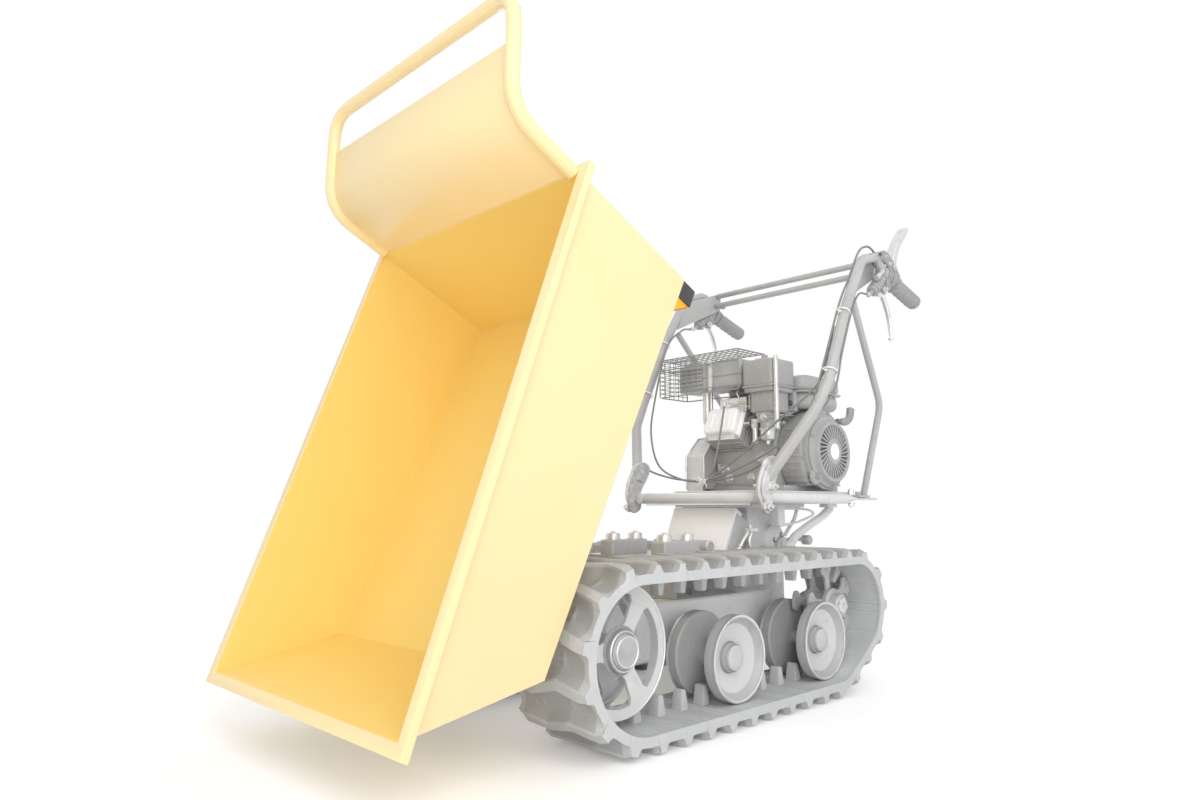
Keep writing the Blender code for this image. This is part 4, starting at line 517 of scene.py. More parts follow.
def dressed(node, finish, bevel=0.0008, segments=2, smooth=35):
    """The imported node's own shape, welded and with soft edges, in a finish of its own."""
    shape = Shape(Matrix())
    shape.work.from_mesh(frame["nodes"][node].data)
    bmesh.ops.remove_doubles(shape.work, verts=shape.work.verts, dist=1e-6)
    bmesh.ops.dissolve_limit(shape.work, angle_limit=radians(1.0), verts=shape.work.verts,
                             edges=shape.work.edges, use_dissolve_boundaries=False)
    return shape.piece(node + "_dressed", finish, SLOT_OF[node], BODY_OF[node], (node,), bevel, segments, smooth)


# A place in the open space of the level tub
TUB_MIDDLE = Vector((0, 0.17, 0.20))


def paint_inside(piece):
    """Gives the tub's inner faces a deeper copy of the skip's paint: painted shade, for inside and outside are one
    paint.
    """
    piece.data.materials.append(FINISHES["deep"])
    level = SKIP.inverted()
    turn = level.to_3x3()
    for face in piece.data.polygons:
        spot, way = level @ face.center, turn @ face.normal
        side_wall = spot.x * way.x < 0 and abs(way.x) > 0.9 and abs(spot.x) < 0.2995
        other_wall = abs(way.x) < 0.3 and abs(spot.x) < 0.299 and way.dot(TUB_MIDDLE - spot) > 0
        if side_wall or other_wall:
            face.material_index = 1


# Camera and stage

# Name, place, diameter, and its share of the key light's power
LAMPS = (("key", (2.6, -1.2, 2.6), 2.4, 1.0), ("front", (2.4, -2.2, 0.7), 1.6, 0.75),
         ("back", (-2.4, 1.8, 2.6), 2.4, 0.5))
LAMPS_AIM = Vector((0, 0, 0.45))
# Distances from the middle between which the floor turns plain white
FLOOR_FADE = (0.9, 1.9)


class StageSettings(bpy.types.PropertyGroup):
    """The camera and the plain studio."""

    lens: FloatProperty(name="Lens", description="Focal length on a 36 mm sensor", default=24.767, unit="CAMERA")
    place: FloatVectorProperty(name="Place", description="The camera's place", subtype="TRANSLATION",
                               default=(1.2074, -1.2976, 0.3812))
    heading: FloatProperty(name="Heading", description="Turn of the view from +Y towards -X",
                           default=radians(45.747), unit="ROTATION")
    rise: FloatProperty(name="Rise", description="How far the view looks up", default=radians(7.346),
                        unit="ROTATION")
    key: FloatProperty(name="Key light", description="Power of the main soft light", default=32.0, unit="POWER")
    fill: FloatProperty(name="World light", description="Strength of the even light from all round",
                        default=0.74)
    floor: FloatVectorProperty(name="Floor", description="Colour of the floor", subtype="COLOR",
                               default=(0.98, 0.98, 0.98))
    paper: FloatProperty(name="Floor glow", description="White added to the floor as the camera sees it",
                         default=0.20, subtype="FACTOR")


class PaintSettings(bpy.types.PropertyGroup):
    """Colours that a user would change."""

    # The skip is one paint: this paler copy stands for the lit outside and the deeper one below for the shaded
    # inside, so the pair paints light and shade.
    yellow: FloatVectorProperty(name="Skip paint", description="Colour of the skip", subtype="COLOR",
                                default=shown(250, 227, 173))
    inside: FloatVectorProperty(name="Skip inside", description="Deeper colour of the skip's inner faces",
                                subtype="COLOR", default=shown(249, 216, 125))
    # Deeper than the skip's yellow, for the shade under the skip's floor: painted shade.
    orange: FloatVectorProperty(name="Bearer paint", description="Colour of the bearer under the skip",
                                subtype="COLOR", default=shown(252, 178, 40))
    rubber: FloatProperty(name="Track grey", description="Shown grey of the track's rubber, 0 to 255",
                          default=190.0)


class TrackSettings(bpy.types.PropertyGroup):
    """The rubber tracks."""

    tread: FloatProperty(name="Tread height", description="Height of a tread over the belt", default=0.021,
                         unit="LENGTH")
    sway: FloatProperty(name="Tread sway", description="How far a tread swings fore and aft across the belt",
                        default=0.006, unit="LENGTH")
    rib: FloatProperty(name="Pocket rib", description="Height of the small ribs between treads", default=0.003,
                       unit="LENGTH")
    lug: FloatProperty(name="Guide lug", description="Height of the guide lugs inside", default=0.033,
                       unit="LENGTH")


class WheelSettings(bpy.types.PropertyGroup):
    """The wheels inside the tracks."""

    roller: FloatProperty(name="Roller radius", description="Radius of a roller's rim", default=0.077,
                          unit="LENGTH")
    idler: FloatProperty(name="Idler radius", description="Radius of the front idler", default=0.106,
                         unit="LENGTH")


class BARROW_OT_stage(bpy.types.Operator):
    """Makes the camera, the floor, the backdrop and the soft lights."""

    bl_idname = "barrow.stage"
    bl_label = "Stage"

    def execute(self, context):
        make_stage(context.scene.barrow_stage)
        return {"FINISHED"}


def seen_directly(tree, path):
    """1 for a ray of the camera, and for one that reaches it by a mirror or through glass."""
    facing = Field(tree, path.outputs["Is Camera Ray"]) + Field(tree, path.outputs["Is Glossy Ray"])
    return (facing + Field(tree, path.outputs["Is Transmission Ray"])).math("MINIMUM", 1.0)


def make_stage(settings):
    """Camera, floor, world and lamps."""
    scene = bpy.context.scene
    scene.view_settings.view_transform = "Standard"
    lens = bpy.data.cameras.new("photo_camera")
    lens.sensor_width = 36.0
    lens.lens = settings.lens
    lens.clip_start, lens.clip_end = 0.01, 60.0
    camera = bpy.data.objects.new("photo_camera", lens)
    scene.collection.objects.link(camera)
    camera.location = settings.place
    camera.rotation_euler = (pi / 2 + settings.rise, 0.0, settings.heading)
    scene.camera = camera

    world = bpy.data.worlds.new("studio")
    world.use_nodes = True
    tree = world.node_tree
    base = tree.nodes["Background"]
    base.inputs["Color"].default_value = (1.0, 1.0, 1.0, 1.0)
    base.inputs["Strength"].default_value = settings.fill
    seen = tree.nodes.new("ShaderNodeBackground")
    seen.inputs["Color"].default_value = (1.0, 1.0, 1.0, 1.0)
    seen.inputs["Strength"].default_value = 1.0
    facing = seen_directly(tree, tree.nodes.new("ShaderNodeLightPath"))
    mix = tree.nodes.new("ShaderNodeMixShader")
    tree.links.new(facing.socket, mix.inputs[0])
    tree.links.new(base.outputs[0], mix.inputs[1])
    tree.links.new(seen.outputs[0], mix.inputs[2])
    tree.links.new(mix.outputs[0], tree.nodes["World Output"].inputs["Surface"])
    scene.world = world

    work = bmesh.new()
    bmesh.ops.create_grid(work, x_segments=1, y_segments=1, size=30.0)
    floor = bpy.data.objects.new("floor", bpy.data.meshes.new("floor"))
    work.to_mesh(floor.data)
    work.free()
    scene.collection.objects.link(floor)
    paint = Finish("floor_paper", tuple(settings.floor), 0.9, specular=0.0)
    tree, shader = paint.tree, paint.shader
    facing = seen_directly(tree, paint.node("ShaderNodeLightPath"))
    source = paint.node("ShaderNodeTexCoord")
    reach = paint.node("ShaderNodeVectorMath", {"operation": "LENGTH"})
    tree.links.new(source.outputs["Object"], reach.inputs[0])
    far = Field(tree, reach.outputs["Value"]).between(*FLOOR_FADE)
    glow, white = (paint.node("ShaderNodeEmission", Strength=strength) for strength in (settings.paper, 1.0))
    lifted, near = paint.node("ShaderNodeAddShader"), paint.node("ShaderNodeMixShader")
    tree.links.new(shader.outputs[0], lifted.inputs[0])
    tree.links.new(glow.outputs[0], lifted.inputs[1])
    tree.links.new(facing.socket, near.inputs[0])
    tree.links.new(shader.outputs[0], near.inputs[1])
    tree.links.new(lifted.outputs[0], near.inputs[2])
    mix = paint.node("ShaderNodeMixShader")
    tree.links.new((facing * far).socket, mix.inputs[0])
    tree.links.new(near.outputs[0], mix.inputs[1])
    tree.links.new(white.outputs[0], mix.inputs[2])
    tree.links.new(mix.outputs[0], tree.nodes["Material Output"].inputs["Surface"])
    floor.data.materials.append(paint.material)

    for name, place, size, share in LAMPS:
        lamp = bpy.data.lights.new(name, "AREA")
        lamp.shape = "DISK"
        lamp.size = size
        lamp.energy = settings.key * share
        holder = bpy.data.objects.new(name, lamp)
        scene.collection.objects.link(holder)
        holder.location = place
        holder.rotation_euler = (LAMPS_AIM - Vector(place)).to_track_quat("-Z", "Y").to_euler()


# Tracks

LINKS = 33
TRACK_MIDDLE = 0.233
# Wheel centres in (y, z), and the places of the two rollers along y
SPROCKET_PLACE = (0.600, 0.1729)
IDLER_PLACE = (-0.060, 0.1549)
ROLLER_HEIGHT = 0.1096
FRONT_ROLLER, REAR_ROLLER = 0.228, 0.520
# Radii of the belt's inner face: round the sprocket, under the rear roller, under the idler and over the idler
REAR_BEND, HEEL_BEND, TOE_BEND, FRONT_BEND = 0.0891, 0.0776, 0.1229, 0.1071
TOE_PLACE = (-0.0442, 0.1549)
# Materials of the belt's faces: darker rubber in the tread pockets as painted shade, paler rubber on the inner face
# and lugs as painted light
POCKET_FACE, DUSTY_FACE = 1, 2
TREAD_WALK = ((-0.0245, 0.02), (-0.0195, 0.10), (-0.0148, 0.28), (-0.0108, 0.54), (-0.0078, 0.82), (-0.0054, 1.0),
              (0.0, 1.0), (0.0054, 1.0), (0.0078, 0.82), (0.0108, 0.54), (0.0148, 0.28), (0.0195, 0.10),
              (0.0245, 0.02), (0.0297, 0.0))
BELT_OUTSIDE = (0.090, 0.0885, 0.078, 0.062, 0.050, 0.0405, 0.0375, 0.0325, 0.0295, 0.016, 0.005)
BELT_INSIDE = (0.090, 0.0875, 0.0845, 0.0830, 0.050, 0.018)


class BeltRoute:
    """The belt's inner face in (y, z), measured from the top of its rear arc."""

    def __init__(self):
        dy, dz = SPROCKET_PLACE[0] - REAR_ROLLER, SPROCKET_PLACE[1] - ROLLER_HEIGHT
        lean = degrees(atan2(dz, dy) - acos((HEEL_BEND - REAR_BEND) / hypot(dy, dz)))
        line = (round_about(SPROCKET_PLACE, REAR_BEND, 90, lean, 30)
                + round_about((REAR_ROLLER, ROLLER_HEIGHT), HEEL_BEND, lean, -90, 8)
                + round_about(TOE_PLACE, TOE_BEND, -90, -180, 22)
                + round_about(IDLER_PLACE, FRONT_BEND, 180, 90, 22))
        self.spots = [Vector(line[0])]
        for point in line[1:] + line[:1]:
            if (Vector(point) - self.spots[-1]).length > 1e-5:
                self.spots.append(Vector(point))
        self.marks = [0.0]
        for here, there in zip(self.spots, self.spots[1:]):
            self.marks.append(self.marks[-1] + (there - here).length)
        self.length = self.marks[-1]
        ahead = [(there - here).normalized() for here, there in zip(self.spots, self.spots[1:])]
        self.ways = [(one + two).normalized() for one, two in zip(ahead[-1:] + ahead, ahead + ahead[:1])]

    def at(self, reach):
        """A place on the line and the way that it runs there."""
        reach %= self.length
        i = min(bisect_right(self.marks, reach), len(self.marks) - 1)
        t = (reach - self.marks[i - 1]) / (self.marks[i] - self.marks[i - 1])
        return self.spots[i - 1].lerp(self.spots[i], t), self.ways[i - 1].lerp(self.ways[i], t).normalized()


def belt_section():
    """The belt's outline across: (x, how far out, whether it is on the tread side)."""
    outside = [(x, 0.011, True) for x in BELT_OUTSIDE]
    outside += [(-x, rise, side) for x, rise, side in reversed(outside)]
    inside = [(x, -0.0012 if x > 0.084 else 0.0, False) for x in BELT_INSIDE]
    inside += [(-x, rise, side) for x, rise, side in reversed(inside)]
    return outside + inside[::-1]


def draw_track(name, side, settings):
    """One belt: zigzag treads with hollow flanks, ribs in the pockets, a ribbed inner face and guide lugs."""
    route = BeltRoute()
    pitch = route.length / LINKS
    section = belt_section()
    across, along = len(section), LINKS * len(TREAD_WALK)
    shape = Shape()
    spots = bmesh.ops.create_grid(shape.work, x_segments=across, y_segments=along, size=1.0)["verts"]
    shape.work.faces.index_update()
    finish_of_face = {}
    for face in shape.work.faces:
        middle = face.calc_center_median()
        i, step = int((middle.x + 1) / 2 * across), int((middle.y + 1) / 2 * along) % len(TREAD_WALK)
        # The belt's inner face takes the paler rubber as painted light.
        if i >= 2 * len(BELT_OUTSIDE):
            finish_of_face[face.index] = DUSTY_FACE
        # Faces in the pockets between the treads take the darker rubber as painted shade.
        elif 2 <= i < 2 * len(BELT_OUTSIDE) - 3 and step not in (4, 5, 6, 7):
            finish_of_face[face.index] = POCKET_FACE
    for spot in spots:
        i = round((spot.co.x + 1) / 2 * across) % across
        j = round((spot.co.y + 1) / 2 * along) % along
        link, step = divmod(j, len(TREAD_WALK))
        shift, height = TREAD_WALK[step]
        x, rise, outer = section[i]
        if outer:
            wide = 1.4 if link % 2 and abs(x) > 0.045 and abs(shift) < 0.007 else 1.0
            sway = settings.sway * (1 - 4 * abs(((x + 0.03) / 0.12) % 1 - 0.5))
            if 0.032 < abs(x) < 0.038 and height < 0.5:
                height = max(height, settings.rib / settings.tread)
            place, way = route.at((link + 0.5) * pitch + shift * wide + sway)
            if abs(x) > 0.080:
                height = max(0.76 * height ** 1.8, 0.17)
            rise += height * settings.tread
        else:
            place, way = route.at((link + 0.5) * pitch + shift)
            if rise == 0.0 and step % 2:
                rise = 0.0013
        place = place + Vector((-way.y, way.x)) * rise
        spot.co = (side * TRACK_MIDDLE + x, place.x, place.y)
    bmesh.ops.remove_doubles(shape.work, verts=shape.work.verts, dist=1e-6)
    bmesh.ops.recalc_face_normals(shape.work, faces=shape.work.faces)
    for face in shape.work.faces:
        face.material_index = finish_of_face.get(face.index, 0)
    for link in range(LINKS):
        place, way = route.at(link * pitch)
        made = shape.box((-0.0130, -0.0105, 0.0), (0.0130, 0.0105, settings.lug + 0.004), 0.0)
        for spot in made:
            if spot.co.z > 0.01:
                spot.co.x *= 0.81
                spot.co.y *= 0.52
        edges = list({edge for spot in made for edge in spot.link_edges})
        made = bmesh.ops.bevel(shape.work, geom=edges, offset=0.0028, segments=3, profile=0.5, affect="EDGES",
                               material=-1)["verts"]
        # The lugs take the paler rubber as painted light.
        for face in {face for spot in made for face in spot.link_faces}:
            face.material_index = DUSTY_FACE
        turn = Matrix(((1, 0, 0, side * TRACK_MIDDLE), (0, -way.x, way.y, place.x), (0, -way.y, -way.x, place.y),
                       (0, 0, 0, 1)))
        shape.moved(made, turn @ Matrix.Translation((0, 0, -0.004)))
    made = shape.piece(f"track_{name}_rubber", "rubber", "rubber", stands_for=(f"track_belt_{name}",), bevel=0,
                       smooth=38)
    made.data.materials.append(FINISHES["pocket"])
    made.data.materials.append(FINISHES["dusty"])


class BARROW_OT_tracks(bpy.types.Operator):
    """Draws the two rubber tracks."""

    bl_idname = "barrow.tracks"
    bl_label = "Tracks"

    def execute(self, context):
        for name, side in SIDES:
            draw_track(name, side, context.scene.barrow_track)
        return {"FINISHED"}


# Wheels

def mirrored_profile(half):
    """A profile of one half of a wheel, and the other half after it."""
    return half + [(-reach, radius) for reach, radius in reversed(half)]


def draw_roller(node, side, y, core, settings):
    """A double roller: two pan-shaped discs with rolled rims, paler web faces and flush hub caps; the paler web faces
    and darker walls paint light and shade.
    """
    r, middle = settings.roller, Vector((side * TRACK_MIDDLE, y, ROLLER_HEIGHT))
    shape = Shape()
    shape.turned(mirrored_profile([
        (0.0392, 0.0), (0.0392, 0.0236), (0.0398, 0.0246), (0.0392, 0.0258), (0.0290, 0.0262), (0.0276, 0.0285),
        (0.0284, 0.0330), (0.0396, 0.0590), (0.0412, 0.0618), (0.0528, 0.0726), (0.0544, r - 0.0034),
        (0.0550, r - 0.0012), (0.0530, r), (0.0330, r), (0.0312, r - 0.0015), (0.0305, r - 0.0040),
        (0.0312, 0.0680), (0.0240, 0.0330), (0.0230, core + 0.004), (0.0220, core), (0.0, core)]), middle, steps=72)
    shape.piece(node + "_discs", "wheel", SLOT_OF[node], BODY_OF[node], (node,), bevel=0.0005, smooth=38)
    # The web faces take a paler copy of the disc paint while the walls keep the darker one: painted light on the web
    # faces, painted shade on the walls.
    parts = (
        ("webs", "web", ((0.0286, 0.0288), (0.0294, 0.0284), (0.0408, 0.0588), (0.0416, 0.0612), (0.0404, 0.0614),
                         (0.0280, 0.0300), (0.0286, 0.0288))),
        # Bright lines on the rolled rims: painted highlights.
        ("bright_rims", "zinc", ((0.0520, r - 0.0050), (0.0545, r - 0.0046), (0.0556, r - 0.0026),
                                 (0.0549, r - 0.0002), (0.0520, r + 0.0005), (0.0500, r + 0.0004),
                                 (0.0500, r - 0.0030), (0.0520, r - 0.0050))),
        # Dark rings where the cap and the neck meet the disc: painted shade in the creases.
        ("cap_rings", "groove", ((0.0388, 0.0226), (0.0398, 0.0226), (0.0404, 0.0240), (0.0400, 0.0252),
                                 (0.0388, 0.0254), (0.0388, 0.0226))),
        ("neck_rings", "groove", ((0.0292, 0.0258), (0.0312, 0.0268), (0.0312, 0.0276), (0.0286, 0.0292),
                                  (0.0292, 0.0258))),
        ("caps", "hub", ((0.0388, 0.0), (0.0470, 0.0), (0.0468, 0.0120), (0.0462, 0.0206), (0.0450, 0.0222),
                         (0.0388, 0.0228), (0.0388, 0.0))))
    for name, finish, profile in parts:
        trim = Shape()
        for face in (1, -1):
            trim.turned([(face * reach, radius) for reach, radius in profile], middle, steps=72)
        trim.piece(f"{node}_{name}", finish, SLOT_OF[node], BODY_OF[node], bevel=0, smooth=38)


def draw_idler(node, side, settings):
    """The front idler: two discs with three spokes, a flat rim, a barrel and the hub with its caps."""
    r, middle = settings.idler, IDLER_PLACE
    centre = Vector((side * TRACK_MIDDLE, *middle))
    shape = Shape()
    for face in (1, -1):
        holes = []
        for i in range(3):
            start, end = 71 + 120 * i, 167 + 120 * i
            hole = round_about(middle, 0.089, start + 3, end - 3, 16) + [
                round_about(middle, 0.080, end, end, 1)[0], round_about(middle, 0.046, end - 4, end - 4, 1)[0]]
            hole += round_about(middle, 0.036, end - 16, start + 16, 8)
            hole += [round_about(middle, 0.046, start + 4, start + 4, 1)[0],
                     round_about(middle, 0.080, start, start, 1)[0]]
            holes.append(hole)
        x = centre.x + face * 0.032
        shape.plate(round_about(middle, r - 0.001, 0, 354, 59), x - 0.003, x + 0.003, holes)
        shape.turned([(face * reach, radius) for reach, radius in (
            (0.0340, r - 0.0050), (0.0362, r - 0.0040), (0.0366, r - 0.0014), (0.0355, r),
            (0.0290, r), (0.0282, r - 0.0020), (0.0290, r - 0.0050), (0.0340, r - 0.0050))], centre, steps=84)
        shape.turned([(face * reach, radius) for reach, radius in (
            (0.0165, 0.0905), (0.0300, 0.0905), (0.0300, 0.0935), (0.0165, 0.0935), (0.0155, 0.0920),
            (0.0165, 0.0905))], centre, steps=84)
    shape.turned(mirrored_profile([
        (0.0510, 0.0), (0.0510, 0.0230), (0.0495, 0.0250), (0.0450, 0.0256), (0.0440, 0.0285), (0.0435, 0.0315),
        (0.0420, 0.0330), (0.0365, 0.0335), (0.0355, 0.0370), (0.0340, 0.0380), (0.0300, 0.0380),
        (0.0290, 0.0220), (0.0, 0.0220)]), centre, steps=56)
    shape.piece(node + "_spoked_discs", "web", SLOT_OF[node], BODY_OF[node], (node,), bevel=0.0007, smooth=40)
    # Bright rings on the rim and on the hub's ridges: painted highlights.
    trim = Shape()
    for face in (1, -1):
        for reach, radius, half in ((0.0360, r - 0.0012, 0.0010), (0.0440, 0.0308, 0.0014), (0.0505, 0.0238, 0.0012)):
            trim.turned([(face * (reach + half * a), radius + half * b) for a, b in (
                (-0.6, 1), (0.4, 1), (1, 0.4), (1, -0.4), (0.4, -1), (-0.6, -1), (-0.6, 1))], centre, steps=72)
    trim.piece(node + "_bright_rings", "zinc", SLOT_OF[node], BODY_OF[node], bevel=0)
    # A dark ring in the hub's recess and another round the cap: painted shade.
    dark, cap = Shape(), Shape()
    for face in (1, -1):
        dark.turned([(face * reach, radius) for reach, radius in (
            (0.0350, 0.0330), (0.0352, 0.0392), (0.0372, 0.0350), (0.0430, 0.0336), (0.0430, 0.0320),
            (0.0350, 0.0330))], centre, steps=60)
        dark.turned([(face * reach, radius) for reach, radius in (
            (0.0438, 0.0245), (0.0450, 0.0262), (0.0450, 0.0290), (0.0438, 0.0292), (0.0438, 0.0245))],
            centre, steps=60)
        cap.turned([(face * reach, radius) for reach, radius in (
            (0.0500, 0.0), (0.0518, 0.0), (0.0515, 0.0150), (0.0510, 0.0222), (0.0500, 0.0222), (0.0500, 0.0))],
            centre, steps=60)
    dark.piece(node + "_hub_recess", "groove", SLOT_OF[node], BODY_OF[node], bevel=0)
    cap.piece(node + "_cap_face", "cast", SLOT_OF[node], BODY_OF[node], bevel=0)


STAR_ARMS, STAR_TURN = 5, 28
# One arm's outline: angle in degrees from its middle, and radius
STAR_ARM = ((-31, 0.0300), (-22, 0.0315), (-13, 0.0360), (-9.5, 0.0460), (-8, 0.0580), (-10.5, 0.0650), (-15, 0.0710),
            (-15.5, 0.0770), (-13, 0.0835), (-8, 0.0855), (0, 0.0860), (8, 0.0855), (13, 0.0835), (15.5, 0.0770),
            (15, 0.0710), (10.5, 0.0650), (8, 0.0580), (9.5, 0.0460), (13, 0.0360), (22, 0.0315))


def draw_sprocket(node, side):
    """The drive sprocket: two five-armed stars on a hub with a square bright plate."""
    centre = Vector((side * TRACK_MIDDLE, *SPROCKET_PLACE))
    shape, trim = Shape(), Shape()
    for face in (1, -1):
        star = []
        for i in range(STAR_ARMS):
            for turn, radius in STAR_ARM:
                angle = radians(STAR_TURN + 360 // STAR_ARMS * i + turn)
                star.append((centre.y + radius * cos(angle), centre.z + radius * sin(angle)))
        x = centre.x + face * 0.0178
        shape.plate(star, x - 0.00325, x + 0.00325)
        shape.turned([(face * 0.0190, 0.0), (face * 0.0292, 0.0), (face * 0.0292, 0.0330), (face * 0.0280, 0.0345),
                      (face * 0.0190, 0.0350), (face * 0.0190, 0.0)], centre, steps=40)
        for i in range(STAR_ARMS):
            angle = radians(STAR_TURN + 360 // STAR_ARMS * i)
            tip = centre + Vector((0, cos(angle), sin(angle))) * 0.072
            shape.rod(tip + Vector((face * 0.0150, 0, 0)), tip + Vector((face * 0.0214, 0, 0)), 0.0098, 20)
            trim.bolt(tip + Vector((face * 0.0210, 0, 0)), (face, 0, 0), 0.0048, 0.0012, washer=False)
    shape.turned(mirrored_profile([(0.0500, 0.0), (0.0500, 0.0140), (0.0470, 0.0225), (0.0420, 0.0240),
                                   (0.0, 0.0240)]), centre, steps=40)
    shape.piece(node + "_stars", "hub", SLOT_OF[node], BODY_OF[node], (node,), bevel=0.0012, smooth=40)
    for i in range(4):
        angle = radians(STAR_TURN + 90 * i + 45)
        way = Vector((0, cos(angle), sin(angle)))
        spot = centre + way * 0.0150 + Vector((side * 0.0495, 0, 0))
        trim.bolt(spot, (side, 0, 0), 0.0034, 0.0022, washer=False)
    trim.turned([(side * 0.0490, 0.0065), (side * 0.0518, 0.0065), (side * 0.0518, 0.0150), (side * 0.0508, 0.0165),
                 (side * 0.0490, 0.0170), (side * 0.0490, 0.0065)], centre, steps=8)
    trim.piece(node + "_bolts", "zinc", "grey_steel", BODY_OF[node], bevel=0.0004)


class BARROW_OT_wheels(bpy.types.Operator):
    """Draws rollers, idlers and drive sprockets."""

    bl_idname = "barrow.wheels"
    bl_label = "Wheels"

    def execute(self, context):
        settings = context.scene.barrow_wheels
        for name, side in SIDES:
            draw_roller(f"front_roller_{name}", side, FRONT_ROLLER, 0.026, settings)
            draw_roller(f"rear_roller_{name}", side, REAR_ROLLER, 0.014, settings)
            draw_idler(f"idler_{name}", side, settings)
            draw_sprocket(f"drive_sprocket_{name}", side)
        return {"FINISHED"}


# Engine

CRANK = Vector((0.0, 0.770, 0.512))
LEAN = radians(25.0)
BARREL = Matrix.Translation((-0.028, 0.770, 0.508)) @ Matrix.Rotation(pi / 2 - LEAN, 4, "X")


def draw_recoil():
    """The recoil starter cover: a ring of cooling slots round a blank cap."""
    shape, slots = Shape(), Shape()
    place = Vector((0.0, CRANK.y, CRANK.z))
    shape.turned([(0.1580, 0.0), (0.1580, 0.0860), (0.1625, 0.0860), (0.1640, 0.0848), (0.1660, 0.0800),
                  (0.1700, 0.0765), (0.1760, 0.0745), (0.1790, 0.0725), (0.1796, 0.0700), (0.1790, 0.0655),
                  (0.1775, 0.0640), (0.1700, 0.0635), (0.1690, 0.0620), (0.1690, 0.0)], place, steps=84)
    for i in range(32):
        turn = Matrix.Translation(place) @ Matrix.Rotation(2 * pi * i / 32, 4, "X")
        lean = turn @ Matrix.Translation((0, 0.048, 0)) @ Matrix.Rotation(radians(14), 4, "X")
        shape.box((0.1720, -0.0180, -0.0017), (0.1784, 0.0180, 0.0017), 0.0, matrix=lean)
    shape.turned([(0.1690, 0.0), (0.1796, 0.0), (0.1800, 0.0230), (0.1798, 0.0290), (0.1780, 0.0312),
                  (0.1690, 0.0315), (0.1690, 0.0)], place, steps=56)
    for angle in (35, 155, 275):
        spot = place + Vector((0.1640, 0.0815 * cos(radians(angle)), 0.0815 * sin(radians(angle))))
        shape.bolt(spot - Vector((0.001, 0, 0)), (1, 0, 0), 0.0042, 0.0035)
    shape.piece("recoil_cover_slotted", "cover", "dark_steel", stands_for=("recoil_cover",), bevel=0.0004)
    # A dark ring behind the slots: painted shade inside the cover.
    slots.turned([(0.1722, 0.0300), (0.1734, 0.0300), (0.1734, 0.0645), (0.1722, 0.0645), (0.1722, 0.0300)],
                 place, steps=56)
    slots.piece("recoil_slots", "slot", "dark_steel", bevel=0)
    cap = Shape()
    cap.turned([(0.1790, 0.0), (0.1806, 0.0), (0.1806, 0.0180), (0.1800, 0.0196), (0.1790, 0.0200), (0.1790, 0.0)],
               place, steps=56)
    cap.piece("recoil_cap_plate", "panel", "pale_panel", bevel=0)


def draw_recoil_handle():
    """The starter's pull handle, thick in the middle, and the rope's guide in the cover."""
    out = Vector((0.168, 0.830, 0.590))
    path = eased([out + Vector((0.0, y, z)) for y, z in (
        (-0.0060, 0.0000), (0.0120, -0.0005), (0.0270, 0.0050), (0.0380, 0.0165), (0.0440, 0.0380))], 0.0035)
    sizes = []
    for i in range(len(path)):
        t = i / (len(path) - 1)
        swell = 0.0090 + 0.0024 * t - 0.0006 * (i % 2)
        sizes.append(swell * min(1.0, (1 - (1 - min(t, 1 - t) / 0.08) ** 2) ** 0.5 + 0.45) if min(t, 1 - t) < 0.08
                     else swell)
    shape = Shape()
    shape.tube(path, sizes, 24, flat=0.86)
    knot, eye = out + Vector((0.0, -0.0020, -0.0005)), out + Vector((-0.0110, -0.0020, -0.0005))
    shape.rod(knot + Vector((-0.0082, 0, 0)), knot, 0.0046, 16)
    shape.piece("recoil_handle_moulded", "plastic", SLOT_OF["recoil_handle"], BODY_OF["recoil_handle"],
                ("recoil_handle",), bevel=0)
    guide = Shape()
    guide.rod(eye + Vector((0.0, -0.0060, -0.0240)), eye + Vector((0.0, -0.0010, -0.0060)), 0.0062, 20, 0.0050)
    guide.turned([(-0.0040, 0.0026), (-0.0044, 0.0066), (-0.0016, 0.0086), (0.0016, 0.0086), (0.0036, 0.0066),
                  (0.0034, 0.0026), (-0.0040, 0.0026)], eye, axis=(1, 0, 0), steps=32)
    guide.piece("rope_guide", "slot", "dark_steel", bevel=0.0004)
    rope = Shape()
    rope.tube([eye.lerp(knot, i / 40) for i in range(41)], 0.0017, 10)
    made = rope.piece("starter_rope", "cable", "black_plastic", body=None, bevel=0)
    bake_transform(made)


def draw_blower():
    """Louvres and bolts on the blower housing, and the starter's round boss."""
    shape = Shape()
    for i in range(9):
        angle = radians(150 + 9 * i)
        way = Vector((0, cos(angle), sin(angle)))
        turn = Matrix.Translation(CRANK + way * 0.1035) @ Matrix.Rotation(angle, 4, "X")
        shape.box((0.0940, -0.0010, -0.0032), (0.1450, 0.0028, 0.0032), 0.0012, matrix=turn)
    for angle in (20, 75, 130, 190, 225):
        way = Vector((0, cos(radians(angle)), sin(radians(angle)))) * 0.0975
        shape.bolt(CRANK + way + Vector((0.1470, 0, 0)), (1, 0, 0), 0.0042, 0.0036)
    shape.turned([(0.1560, 0.0), (0.1640, 0.0), (0.1640, 0.0150), (0.1630, 0.0185), (0.1600, 0.0205),
                  (0.1560, 0.0210), (0.1560, 0.0)], Vector((0.0, 0.712, 0.452)), steps=36)
    shape.bolt(Vector((0.1640, 0.712, 0.452)), (1, 0, 0), 0.0070, 0.0050)
    shape.piece("blower_louvres", "cover", "dark_steel", bevel=0.0004)


